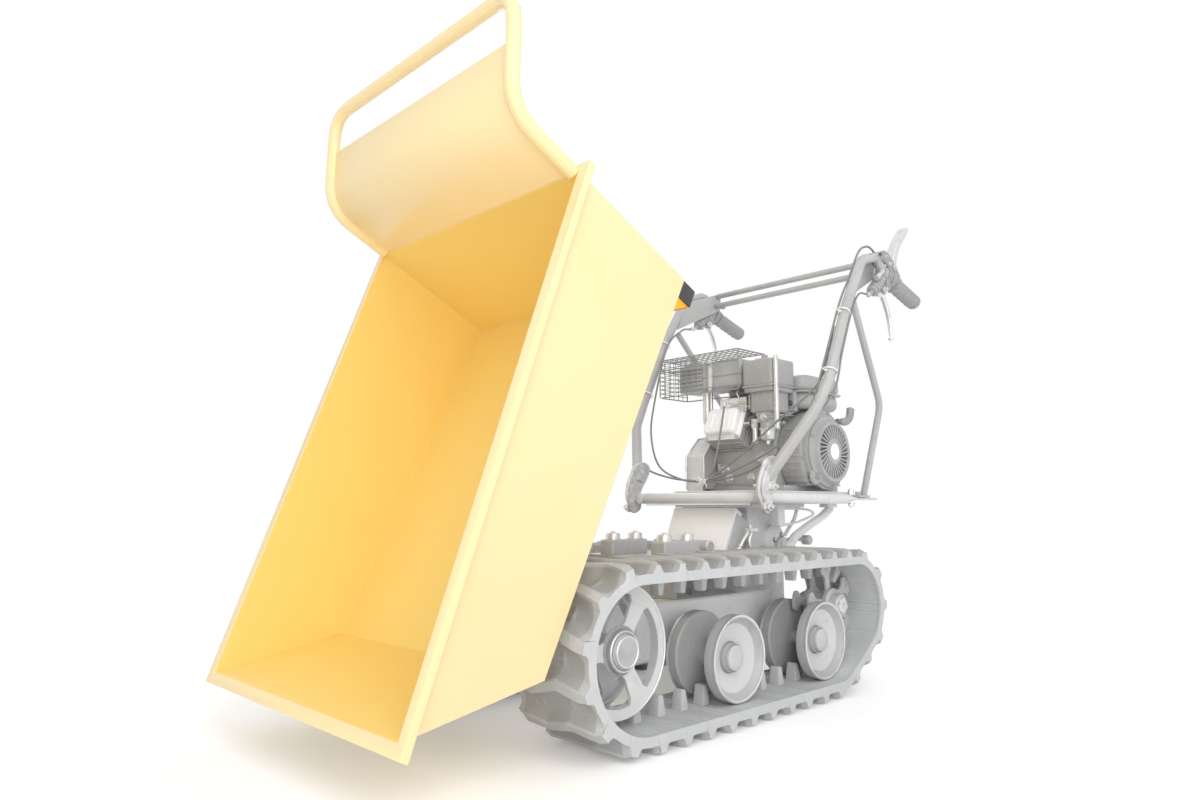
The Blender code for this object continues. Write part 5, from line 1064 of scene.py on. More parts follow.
def draw_air_cleaner():
    """Air cleaner: rounded case with a seam, its neck, the long clamp screw and a wing nut."""
    shape = Shape()
    shape.pad((0.033, 0.600, 0.666), (0.121, 0.700, 0.7300), 0.012, 0.0055)
    shape.pad((0.0350, 0.602, 0.6520), (0.119, 0.698, 0.6690), 0.011, 0.0030)
    shape.pad((0.0305, 0.5975, 0.6630), (0.1235, 0.7025, 0.6675), 0.013, 0.0012)
    shape.pad((0.0440, 0.6110, 0.6040), (0.1120, 0.6890, 0.6560), 0.014, 0.0040)
    shape.pad((0.0460, 0.6130, 0.6030), (0.1100, 0.6870, 0.6110), 0.016, 0.0020)
    for i in range(4):
        shape.box((0.0455 + 0.017 * i, 0.6096, 0.6120), (0.0490 + 0.017 * i, 0.6125, 0.6480), 0.0008)
    shape.pad((0.0640, 0.6050, 0.7290), (0.1050, 0.6400, 0.7318), 0.012, 0.0012)
    shape.turned([(0.7305, 0.0), (0.7305, 0.0090), (0.7330, 0.0085), (0.7345, 0.0050), (0.7390, 0.0045),
                  (0.7395, 0.0)], Vector((0.085, 0.622, 0.0)), axis=(0, 0, 1), steps=24)
    for face in (1, -1):
        shape.box((0.085 - 0.0015, 0.622 + face * 0.004 - 0.002, 0.7340),
                  (0.085 + 0.0015, 0.622 + face * 0.012 + 0.002, 0.7430), 0.0012)
    shape.piece("air_cleaner_case", "cleaner", "black_plastic", stands_for=("air_cleaner",), bevel=0.0004)
    rod = Shape()
    rod.tube([(0.1275, 0.606, 0.560), (0.1275, 0.606, 0.732)], 0.0052, 20)
    for level in (0.5640, 0.6180, 0.6655, 0.7270):
        rod.rod((0.1275, 0.606, level - 0.0018), (0.1275, 0.606, level + 0.0018), 0.0066, 20)
    rod.rod((0.1275, 0.606, 0.732), (0.1275, 0.606, 0.7350), 0.0052, 20, 0.0030)
    rod.piece("clamp_rod_turned", "zinc", SLOT_OF["clamp_rod"], stands_for=("clamp_rod",), bevel=0.0004)


def draw_tank():
    """Fuel tank in two pressed halves, with the folded seam round it and a round collar on its top."""
    shape = Shape()
    shape.pad((-0.100, 0.706, 0.6590), (0.146, 0.878, 0.7000), 0.030, 0.0140)
    shape.pad((-0.0960, 0.710, 0.6170), (0.142, 0.874, 0.6610), 0.028, 0.0180)
    shape.pad((-0.1050, 0.701, 0.6570), (0.151, 0.883, 0.6608), 0.034, 0.0012)
    shape.rod((0.020, 0.795, 0.698), (0.020, 0.795, 0.7062), 0.0250, 40)
    for x in (-0.060, 0.105):
        shape.box((x - 0.012, 0.699, 0.6100), (x + 0.012, 0.7130, 0.6590), 0.0015)
    shape.piece("fuel_tank_pressed", "tank", SLOT_OF["fuel_tank"], stands_for=("fuel_tank",), bevel=0.0005)
    strap = Shape()
    for x in (-0.060, 0.105):
        strap.bolt((x, 0.6990, 0.6300), (0, -1, 0), 0.0048, 0.0040)
    strap.tube(eased([(0.030, 0.712, 0.6180), (0.034, 0.700, 0.5980), (0.060, 0.672, 0.5900), (0.078, 0.650, 0.5760)],
                     0.006), 0.0030, 12)
    strap.piece("fuel_line", "slot", "rubber", bevel=0)


def draw_muffler():
    """Muffler box with louvres and a bright strap, in a wire cage, and the exhaust bend."""
    shape = Shape()
    shape.pad((-0.178, 0.612, 0.672), (0.022, 0.702, 0.742), 0.014, 0.0070)
    shape.pad((-0.182, 0.608, 0.7040), (0.026, 0.706, 0.7075), 0.016, 0.0010)
    for i in range(6):
        low = 0.6785 + 0.0100 * i
        turn = Matrix.Translation((-0.128, 0.6105, low + 0.0025)) @ Matrix.Rotation(radians(-24), 4, "X")
        shape.box((-0.0400, -0.0022, -0.0034), (0.0330, 0.0022, 0.0034), 0.0012, matrix=turn)
    for i in range(5):
        low = 0.6260 + 0.0150 * i
        shape.box((-0.1800, low, 0.6800), (-0.1765, low + 0.0060, 0.7350), 0.0012)
    for x, z in ((-0.166, 0.7425), (-0.020, 0.7425), (0.008, 0.7425)):
        shape.bolt((x, 0.630, z - 0.0005), (0, 0, 1), 0.0045, 0.0035)
    shape.piece("muffler_box", "cover", SLOT_OF["muffler"], stands_for=("muffler",), bevel=0.0004)
    bright = Shape()
    bright.box((-0.0742, 0.6076, 0.6690), (-0.0612, 0.6118, 0.7440), 0.0012)
    bright.box((-0.0742, 0.6085, 0.7415), (-0.0612, 0.7000, 0.7445), 0.0010)
    bright.bolt((-0.0677, 0.6076, 0.7360), (0, -1, 0), 0.0044, 0.0032)
    bright.box((-0.0905, 0.6100, 0.6700), (-0.0885, 0.6126, 0.7430), 0.0006)
    path = bent([(-0.104, 0.640, 0.676), (-0.104, 0.640, 0.610), (-0.104, 0.640, 0.5880), (-0.0803, 0.6405, 0.5870)],
                0.022, 8)
    bright.tube(path, 0.0110, 24)
    bright.tube([point + Vector((0.0185, -0.006, 0)) for point in path[:6]], 0.0042, 14)
    bright.rod((-0.104, 0.640, 0.6640), (-0.104, 0.640, 0.6740), 0.0150, 28)
    bright.box((-0.0860, 0.6200, 0.5690), (-0.0795, 0.6610, 0.6050), 0.0030)
    for y in (0.6270, 0.6540):
        bright.bolt((-0.0860, y, 0.5870), (-1, 0, 0), 0.0045, 0.0040)
    bright.piece("exhaust_bend", "zinc", "bright_steel", bevel=0.0005)

    cage = Shape()
    low, high, wire = Vector((-0.2244, 0.5956, 0.6636)), Vector((0.0274, 0.7064, 0.7620)), 0.0010
    for level in (low.z, 0.7350, high.z):
        cage.tube(bent([(high.x, low.y, level), (low.x, low.y, level), (low.x, high.y, level),
                        (high.x, high.y, level)], 0.012, 4), 0.0016, 8)
    cage.tube([(high.x, low.y, high.z), (high.x, high.y, high.z)], 0.0016, 8)
    for i in range(1, 14):
        x = low.x + (high.x - low.x) * i / 14
        cage.tube([(x, low.y, high.z), (x, high.y, high.z)], wire, 6)
        if i < 8:
            cage.tube([(x, low.y, low.z), (x, low.y, high.z)], wire, 6)
    for i in range(1, 6):
        y = low.y + (high.y - low.y) * i / 6
        cage.tube([(high.x, y, high.z), (low.x, y, high.z), (low.x, y, low.z)], wire, 6)
    for i in range(1, 9):
        z = low.z + (high.z - low.z) * i / 9
        cage.tube([(low.x + (0.125 if i > 1 else 0.250), low.y, z), (low.x, low.y, z), (low.x, high.y, z)], wire, 6)
    for x in (low.x, high.x):
        for y in (low.y, high.y):
            cage.tube([(x, y, low.z), (x, y, high.z)], 0.0016, 8)
    for y in (0.640, 0.680):
        cage.tube([(low.x, y, 0.735), (-0.178, y, 0.735)], 0.0022, 8)
    cage.piece("muffler_cage", "wire", SLOT_OF["muffler_guard"], stands_for=("muffler_guard",), bevel=0)


def draw_head():
    """Rocker cover with its rim, ribs and bolts, the spark plug's cap and lead, and the carburettor's trim."""
    shape = Shape(MACHINE @ BARREL)
    shape.pad((-0.0520, -0.0410, 0.1686), (0.0520, 0.0410, 0.1722), 0.010, 0.0010)
    shape.pad((-0.0460, -0.0345, 0.1700), (0.0460, 0.0345, 0.1966), 0.013, 0.0070)
    shape.pad((-0.0490, -0.0380, 0.1715), (0.0490, 0.0380, 0.1760), 0.012, 0.0020)
    for x in (-0.0250, -0.0080, 0.0090, 0.0260):
        shape.box((x - 0.0042, -0.0200, 0.1955), (x + 0.0042, 0.0200, 0.1980), 0.0012)
    shape.piece("rocker_cover_cast", "panel", SLOT_OF["rocker_cover"], stands_for=("rocker_cover",), bevel=0.0005)
    bolts = Shape(MACHINE @ BARREL)
    for x in (-0.0455, 0.0455):
        for y in (-0.0345, 0.0345):
            bolts.bolt((x, y, 0.1722), (0, 0, 1), 0.0046, 0.0050)
            bolts.rod((x * 0.97, y * 0.97, 0.1530), (x * 0.97, y * 0.97, 0.1690), 0.0062, 20)
    bolts.bolt((0.0530, 0.010, 0.1610), (1, 0, 0), 0.0100, 0.0120)
    bolts.piece("head_bolts", "zinc", "bright_steel", bevel=0.0004)
    plug = Shape()
    tip = BARREL @ Vector((0.0450, 0.0100, 0.1610))
    plug.tube([tip, tip + Vector((0.022, -0.002, 0.004)), tip + Vector((0.032, 0.004, 0.012))],
              [0.0092, 0.0085, 0.0062], 20)
    plug.tube(eased([tip + Vector((0.032, 0.004, 0.012)), (0.062, 0.640, 0.602), (0.090, 0.662, 0.596),
                     (0.104, 0.690, 0.590)], 0.006), 0.0034, 12)
    plug.piece("plug_cap_and_lead", "slot", "rubber", bevel=0)
    carb, stand = Shape(), Vector((0.084, 0.632, 0.0))
    carb.turned([(0.5640, 0.0), (0.5640, 0.0205), (0.5670, 0.0205), (0.5680, 0.0180), (0.5820, 0.0180),
                 (0.5820, 0.0)], stand, axis=(0, 0, 1), steps=40)
    bowl = Shape()
    bowl.turned([(0.5370, 0.0), (0.5370, 0.0120), (0.5385, 0.0160), (0.5420, 0.0180), (0.5600, 0.0184),
                 (0.5610, 0.0200), (0.5645, 0.0200), (0.5645, 0.0)], stand, axis=(0, 0, 1), steps=40)
    bowl.bolt((0.084, 0.632, 0.5375), (0, 0, -1), 0.0066, 0.0070)
    bowl.bolt((0.0848, 0.6150, 0.5914), (0, -1, 0), 0.0062, 0.0065)
    bowl.box((0.0500, 0.6120, 0.5660), (0.0645, 0.6280, 0.5890), 0.0018)
    bowl.bolt((0.0570, 0.6120, 0.5830), (0, -1, 0), 0.0036, 0.0030)
    bowl.rod((0.0572, 0.6180, 0.5390), (0.0572, 0.6180, 0.5680), 0.0062, 24)
    bowl.rod((0.0572, 0.6180, 0.5300), (0.0572, 0.6180, 0.5390), 0.0074, 6)
    bowl.bolt((0.0860, 0.6850, 0.5827), (1, 0, 0), 0.0076, 0.0080)
    bowl.tube([(0.1000, 0.6420, 0.5970), (0.1060, 0.6540, 0.5980), (0.1060, 0.7100, 0.6000)], 0.0018, 8)
    bowl.piece("float_bowl_and_fittings", "zinc", "bright_steel", bevel=0.0005)
    carb.pad((0.0620, 0.6150, 0.5790), (0.1020, 0.6600, 0.6050), 0.006, 0.0030)
    for x, z in ((0.0680, 0.5980), (0.0960, 0.5980), (0.0960, 0.5860)):
        carb.bolt((x, 0.6150, z), (0, -1, 0), 0.0034, 0.0030)
    carb.rod((0.0990, 0.6200, 0.5900), (0.1130, 0.6200, 0.5900), 0.0050, 18)
    carb.piece("carburettor_cast", "cast", SLOT_OF["carburettor"], stands_for=("carburettor",), bevel=0.0005)
    links = Shape()
    links.tube([(0.1120, 0.6200, 0.5900), (0.1150, 0.6170, 0.6080), (0.1150, 0.6120, 0.6100)], 0.0016, 8)
    links.tube([(-0.0300, 0.6250, 0.6350), (0.0300, 0.6180, 0.6220), (0.0620, 0.6160, 0.6180)], 0.0014, 8)
    links.tube([(-0.0450, 0.6300, 0.6200), (0.0200, 0.6160, 0.6320), (0.0240, 0.6150, 0.6400)], 0.0014, 8)
    coil = [Vector((-0.0150 + 0.0007 * i, 0.6230 + 0.0035 * cos(i * 0.9), 0.6280 + 0.0035 * sin(i * 0.9)))
            for i in range(56)]
    links.tube(coil, 0.0008, 5)
    links.box((-0.0500, 0.6240, 0.6120), (0.0300, 0.6262, 0.6460), 0.0008)
    for x, z in ((-0.0400, 0.6220), (-0.0220, 0.6380), (0.0080, 0.6380), (0.0220, 0.6200)):
        links.bolt((x, 0.6240, z), (0, -1, 0), 0.0040, 0.0034)
    links.tube([(0.0090, 0.6220, 0.6460), (0.0060, 0.6180, 0.6560), (0.0120, 0.6140, 0.6600)], 0.0018, 8)
    links.box((-0.0320, 0.6262, 0.6040), (-0.0200, 0.6400, 0.6140), 0.0010)
    links.piece("governor_links", "zinc", "bright_steel", bevel=0)


def draw_block():
    """Small things on the crankcase, the belt guard and the gearbox."""
    shape = Shape()
    for y, z in ((0.6620, 0.4280), (0.6620, 0.5250), (0.7000, 0.5980), (0.7950, 0.5980), (0.8560, 0.4800)):
        shape.bolt((-0.0860, y, z), (-1, 0, 0), 0.0048, 0.0045)
    shape.bolt((0.0200, 0.6520, 0.4500), (0, -1, 0), 0.0078, 0.0080)
    shape.bolt((-0.0450, 0.6520, 0.4500), (0, -1, 0), 0.0078, 0.0080)
    shape.tube(eased([(-0.0760, 0.6500, 0.4850), (-0.0700, 0.6450, 0.4710), (-0.0610, 0.6440, 0.4660),
                      (-0.0540, 0.6470, 0.4760)], 0.004), 0.0052, 16)
    shape.bolt((-0.0560, 0.6520, 0.4740), (0, -1, 0), 0.0070, 0.0120)
    for y, z in ((0.6405, 0.5195), (0.6388, 0.5240)):
        shape.tube([(-0.0780, y, z), (0.0020, y, z)], 0.0013, 8)
    shape.box((0.0280, 0.5570, 0.3875), (0.0880, 0.5600, 0.4180), 0.0010)
    for x in (0.0380, 0.0780):
        shape.bolt((x, 0.5570, 0.4080), (0, -1, 0), 0.0046, 0.0040)
    shape.rod((0.0650, 0.6560, 0.4800), (0.0650, 0.6360, 0.4950), 0.0125, 28)
    shape.rod((0.0650, 0.6370, 0.4942), (0.0650, 0.6290, 0.5002), 0.0155, 12)
    for y, z in ((0.6150, 0.4900), (0.6150, 0.2700), (0.8200, 0.5250), (0.8200, 0.4900), (0.7000, 0.5430)):
        shape.bolt((-0.1405, y, z), (-1, 0, 0), 0.0048, 0.0045)
    for x, y in ((-0.0700, 0.6800), (0.0700, 0.6800), (-0.0700, 0.8480), (0.0700, 0.8480)):
        shape.bolt((x, y, 0.4165), (0, 0, 1), 0.0060, 0.0060)
        shape.bolt((x, y, 0.4095), (0, 0, -1), 0.0060, 0.0060)
    for i in range(6):
        angle = radians(20 + 60 * i)
        shape.bolt((0.1030, 0.640 + 0.0300 * cos(angle), 0.286 + 0.0300 * sin(angle)), (1, 0, 0), 0.0040, 0.0040)
    for y in (0.500, 0.590, 0.678):
        for x in (-0.076, 0.096):
            shape.bolt((x, min(y, 0.672), 0.3870), (0, 0, 1), 0.0052, 0.0045)
    shape.piece("engine_bolts", "zinc", "bright_steel", bevel=0.0004)
    # Bright lines round the guard's opening: painted highlights on its edges.
    strip = Shape()
    for x in (-0.0855, -0.1412):
        strip.tube([(x, 0.5990, 0.4230), (x, 0.5985, 0.5055), (x, 0.6475, 0.5530), (x, 0.8000, 0.5732)], 0.0022, 10)
    strip.piece("belt_guard_edges", "zinc", "grey_steel", bevel=0)
    # A flat grey sheet just inside the guard's opening stands for its shaded inside: painted shade.
    shut = Shape()
    shut.plate([(0.6015, 0.4240), (0.6015, 0.5045), (0.6485, 0.5500), (0.6700, 0.5530), (0.6700, 0.4240)],
               -0.0892, -0.0878)
    shut.piece("belt_guard_inner_sheet", "cover", "dark_steel", bevel=0)
    ribs = Shape()
    for i in range(7):
        angle = radians(200 + 24 * i)
        way = Vector((0, cos(angle), sin(angle)))
        start = Vector((0.0, 0.620, 0.300))
        ribs.rod(start + way * 0.038 + Vector((0.098, 0, 0)), start + way * 0.050 + Vector((0.080, 0, 0)), 0.0060, 16)
    ribs.turned([(0.1020, 0.0), (0.1175, 0.0), (0.1175, 0.0120), (0.1160, 0.0150), (0.1160, 0.0225), (0.1135, 0.0250),
                 (0.1020, 0.0255), (0.1020, 0.0)], Vector((0.0, 0.640, 0.286)), steps=40)
    ribs.turned([(0.098, 0.0), (0.118, 0.0), (0.118, 0.0095), (0.115, 0.0115), (0.098, 0.0115), (0.098, 0.0)],
                Vector((0.0, 0.749, 0.301)), axis=(1, 0, 0), steps=24)
    ribs.tube([(0.100, 0.749, 0.301), (0.100, 0.700, 0.306), (0.098, 0.666, 0.300)], 0.0050, 12)
    ribs.piece("gearbox_covers", "cast", "cast_metal", bevel=0.0006)
    post = Shape()
    post.box((0.1180, 0.5800, 0.3370), (0.1420, 0.6060, 0.4095), 0.0016)
    post.tube(eased([(0.128, 0.606, 0.3765), (0.128, 0.680, 0.3757), (0.128, 0.7233, 0.3732), (0.128, 0.7475, 0.3667),
                     (0.128, 0.7420, 0.3593), (0.128, 0.711, 0.3516), (0.128, 0.6676, 0.3433),
                     (0.128, 0.600, 0.3372)], 0.006), 0.0028, 10)
    post.tube([(0.120, 0.704, 0.400), (0.112, 0.690, 0.352), (0.104, 0.660, 0.314)], 0.0042, 12)
    post.box((0.1140, 0.6950, 0.3960), (0.1300, 0.7130, 0.4095), 0.0012)
    post.piece("bed_post_and_links", "dark", "dark_steel", bevel=0.0004)
    bits = Shape()
    bits.box((0.1090, 0.4950, 0.3245), (0.1250, 0.5260, 0.3345), 0.0014)
    bits.tube([(0.117, 0.4980, 0.3260), (0.112, 0.4830, 0.3050), (0.110, 0.4700, 0.2860)], 0.0042, 14)
    bits.tube([(0.120, 0.5050, 0.3250), (0.120, 0.4960, 0.3060), (0.120, 0.5020, 0.2830)], 0.0042, 14)
    for i in range(4):
        bits.rod((0.1105 - 0.0009 * i, 0.4760 - 0.0050 * i, 0.2960 - 0.0060 * i),
                 (0.1105 - 0.0009 * i, 0.4745 - 0.0050 * i, 0.2935 - 0.0060 * i), 0.0060, 18)
    bits.bolt((0.1170, 0.5050, 0.3345), (0, 0, 1), 0.0040, 0.0050)
    bits.piece("shift_rods", "zinc", "bright_steel", bevel=0.0003)


def draw_bridge_trim():
    """Large cap bolts of the clamp blocks, the rest rod's end rings, and strips on the front panel's folded edge that
    paint its shadow line, highlight and shaded flange.
    """
    shape = Shape()
    for x in (-0.074, 0.074):
        for y in (0.267, 0.337):
            shape.turned([(0.3100, 0.0), (0.3100, 0.0178), (0.3120, 0.0178), (0.3124, 0.0156), (0.3215, 0.0154),
                          (0.3238, 0.0140), (0.3242, 0.0115), (0.3242, 0.0)], Vector((x, y, 0.0)), axis=(0, 0, 1),
                         steps=36)
            shape.bolt((x, y, 0.3242), (0, 0, 1), 0.0080, 0.0012, washer=False)
    for face in (1, -1):
        shape.turned([(face * reach, radius) for reach, radius in (
            (0.0770, 0.0095), (0.0800, 0.0095), (0.0800, 0.0135), (0.0785, 0.0145), (0.0750, 0.0146),
            (0.0750, 0.0138), (0.0770, 0.0095))], Vector((0.0, 0.4115, 0.2941)), steps=40)
    shape.piece("bridge_bolts", "zinc", "bright_steel", bevel=0.0004)
    slope = Vector((0.0, 0.0495, 0.1080)).normalized()
    face = Vector((0.0, -slope.z, slope.y))
    # Strips laid on the panel's folded edge: a dark line as painted shadow in the bend, a chrome line as painted
    # highlight along the edge, and a darker strip as painted shade on the flange's side.
    for name, finish, low, high in (("groove", "groove", (0.0796, 0.0040, -0.0010), (0.0832, 0.1150, 0.0026)),
                                    ("fold", "chrome", (0.0838, 0.0040, -0.0040), (0.0880, 0.1150, 0.0030)),
                                    ("side", "web", (0.0872, 0.0060, -0.0560), (0.0884, 0.1100, -0.0040))):
        for side in (1, -1):
            edge = Shape()
            turn = Matrix(((side, 0, 0, 0), (0, slope.y, face.y, 0.4445), (0, slope.z, face.z, 0.2690), (0, 0, 0, 1)))
            edge.box(low, high, 0.0006, matrix=turn)
            if side < 0:
                bmesh.ops.reverse_faces(edge.work, faces=edge.work.faces)
            edge.piece(f"panel_{name}_{'left' if side > 0 else 'right'}", finish, "pale_panel", bevel=0)
    # A thin chrome line under the cross tube that stands for the bright lower edge there: painted highlight.
    line = Shape()
    line.tube([(-0.150, 0.458, 0.3858), (0.150, 0.458, 0.3856)], 0.0020, 10)
    line.piece("cross_tube_edge", "chrome", "grey_steel", bevel=0)


def draw_foot(name, side):
    """The galvanised foot of a handlebar: one curved plate with a raised middle and two large bolts."""
    outline = [(0.4460, 0.4590), (0.4340, 0.4370), (0.4300, 0.4160), (0.4310, 0.4000), (0.4390, 0.3850),
               (0.4470, 0.3700), (0.4600, 0.3650), (0.4790, 0.3760), (0.4810, 0.3960), (0.4790, 0.4120),
               (0.4900, 0.4320), (0.5030, 0.4480), (0.5140, 0.4770), (0.4900, 0.4900), (0.4600, 0.4800)]
    smooth = [(spot.y, spot.z) for spot in eased([(0, *point) for point in outline + outline[:1]], 0.006)[:-1]]
    shape = Shape()
    shape.plate(smooth, side * 0.1868, side * 0.1950)
    middle = Vector((0.4640, 0.4230))
    shape.plate([tuple(middle + (Vector(point) - middle) * 0.74) for point in smooth], side * 0.1940, side * 0.1992)
    shape.piece(f"root_bracket_{name}_plate", "mottled", SLOT_OF[f"root_bracket_{name}"],
                stands_for=(f"root_bracket_{name}",), bevel=0.0028, segments=3, smooth=30)
    bolts = Shape()
    for y, z in ((0.4700, 0.4230), (0.4500, 0.3800)):
        bolts.rod((side * 0.1940, y, z), (side * 0.2015, y, z), 0.0122, 28)
        bolts.bolt((side * 0.2010, y, z), (side, 0, 0), 0.0092, 0.0085, washer=False)
        bolts.rod((side * 0.2090, y, z), (side * 0.2160, y, z), 0.0050, 18, 0.0042)
    bolts.piece(f"root_bolts_{name}", "zinc", "bright_steel", bevel=0.0005)
    ends = Shape()
    for z, way, height in ((0.4100, 1, 0.0100), (0.3900, -1, 0.0065)):
        ends.bolt((side * 0.1780, 0.8415, z), (0, 0, way), 0.0074, height)
    ends.piece(f"side_tube_bolts_{name}", "zinc", "bright_steel", bevel=0.0004)


class BARROW_OT_engine(bpy.types.Operator):
    """Draws the engine's covers, tank, muffler and small parts."""

    bl_idname = "barrow.engine"
    bl_label = "Engine"

    def execute(self, context):
        for draw in (draw_recoil, draw_recoil_handle, draw_blower, draw_air_cleaner, draw_tank, draw_muffler,
                     draw_head, draw_block, draw_bridge_trim):
            draw()
        return {"FINISHED"}


# Handlebar tops

CLUTCH_PIVOT = Vector((0.270, 0.899, 0.971))


def grip_line(side):
    """Where a grip starts and ends."""
    return Vector((side * 0.274, 0.905, 0.938)), Vector((side * 0.277, 1.030, 0.903))


def draw_grip(name, side):
    """A rubber grip with finger waves below, fine rings and a collar."""
    root, end = grip_line(side)
    way, length = (end - root).normalized(), (end - root).length
    shape = Shape()
    points, sizes = [], []
    for i in range(91):
        reach = length * i / 90
        points.append(root + way * reach)
        if reach < 0.005:
            size = 0.0214
        elif reach < 0.008:
            size = 0.0214 - 0.0026 * (reach - 0.005) / 0.003
        elif reach > length - 0.010:
            size = 0.0188 * max(1 - ((reach - length + 0.010) / 0.0103) ** 2, 0.0) ** 0.5
        else:
            size = 0.0188 - 0.0002 * (i % 2)
        sizes.append(max(size, 0.0035))
    for spot in shape.tube(points, sizes, 32):
        reach = (spot.co - root).dot(way)
        out = spot.co - root - way * reach
        below = -out.normalized().z if out.length > 1e-6 else 0.0
        if below > 0 and 0.014 < reach < 0.112:
            spot.co += out.normalized() * below * 0.0030 * (cos(2 * pi * (reach - 0.014) / 0.0196) * -0.5 + 0.1)
    shape.piece(f"grip_{name}_ribbed", "grip", SLOT_OF[f"grip_{name}"], stands_for=(f"grip_{name}",), bevel=0)


def draw_lever(name, side):
    """A curved steering lever with a ball end, its perch, ribbed boot and cable adjuster."""
    pivot = Vector((side * 0.270, 0.847, 0.905))
    node = f"steering_lever_{name}"
    path = eased([pivot + Vector((0, y, z)) for y, z in (
        (-0.016, 0.012), (0.0, 0.0), (0.018, -0.012), (0.034, -0.034), (0.046, -0.062), (0.052, -0.090),
        (0.053, -0.106))], 0.006)
    sizes = [0.0058 - 0.0020 * i / len(path) for i in range(len(path))]
    shape = Shape()
    shape.tube(path, sizes, 20, flat=1.45)
    bmesh.ops.create_uvsphere(shape.work, u_segments=28, v_segments=16, radius=0.0074,
                              matrix=Matrix.Translation(path[-1] + Vector((0, 0.0004, -0.004))))
    shape.rod(pivot + Vector((0.011, 0, 0)), pivot - Vector((0.011, 0, 0)), 0.0078, 24)
    shape.piece(node + "_curved", "chrome", SLOT_OF[node], BODY_OF[node], (node,), bevel=0.0006)

    perch = Shape()
    root, end = grip_line(side)
    way = (end - root).normalized()
    for back in (0.0340, 0.0120):
        perch.turned([(-0.0090, 0.0190), (-0.0090, 0.0212), (-0.0075, 0.0225), (0.0075, 0.0225), (0.0090, 0.0212),
                      (0.0090, 0.0190)], root - way * back, axis=way, steps=40)
    top = root - way * 0.034
    for face in (1, -1):
        perch.box((-0.0030, -0.0100, -0.0400), (0.0030, 0.0100, -0.0130), 0.0022,
                  matrix=Matrix.Translation(top + Vector((face * 0.0155, -0.012, 0.0))))
        perch.rod(pivot + Vector((face * 0.0110, 0, 0)), pivot + Vector((face * 0.0165, 0, 0)), 0.0105, 24)
        perch.tube([pivot + Vector((face * 0.0138, 0, 0)), top + Vector((face * 0.0138, -0.006, -0.012))], 0.0050, 14)
    perch.tube(eased([top + Vector((0, -0.010, 0.006)), top + Vector((0, -0.028, -0.004)),
                      top + Vector((0, -0.040, -0.022))], 0.006), 0.0080, 18, flat=1.3)
    perch.piece(f"lever_perch_{name}", "plastic", "black_plastic", bevel=0.0006)

    boot = Shape()
    start, stop = pivot + Vector((0, 0.026, 0.038)), pivot + Vector((0, -0.036, -0.008))
    points, sizes = [], []
    for i in range(43):
        points.append(start.lerp(stop, i / 42))
        sizes.append((0.0185 - 0.0050 * i / 42) * (1.0 if i % 6 in (2, 3, 4) else 0.86))
    boot.tube(points, sizes, 32)
    boot.tube([stop, stop + (stop - start).normalized() * 0.012], 0.0062, 16)
    boot.piece(f"lever_boot_{name}", "boot", "rubber", bevel=0)
    bright = Shape()
    bright.bolt(pivot + Vector((0.0165, 0, 0)), (1, 0, 0), 0.0058, 0.0050)
    bright.bolt(pivot - Vector((0.0165, 0, 0)), (-1, 0, 0), 0.0058, 0.0050)
    bright.bolt(top + Vector((side * 0.006, -0.004, 0.0215)), (0, 0, 1), 0.0045, 0.0045)
    bright.rod(start + Vector((0, 0.001, 0.001)), start + Vector((0, 0.010, 0.012)), 0.0062, 20)
    for i in range(3):
        spot = start.lerp(stop, 0.33 + 0.26 * i)
        bright.turned([(-0.0006, 0.0138), (-0.0006, 0.0180 - 0.0013 * i), (0.0006, 0.0180 - 0.0013 * i),
                       (0.0006, 0.0138), (-0.0006, 0.0138)], spot, axis=stop - start, steps=32)
    lift = Vector((side * 0.012, -0.010, 0.022))
    bright.rod(start.lerp(stop, 0.28) + lift, start.lerp(stop, 0.78) + lift, 0.0068, 22)
    bright.rod(stop + (stop - start).normalized() * 0.008, stop + (stop - start).normalized() * 0.022, 0.0054, 6)
    bright.piece(f"lever_trim_{name}", "zinc", "bright_steel", bevel=0.0003)


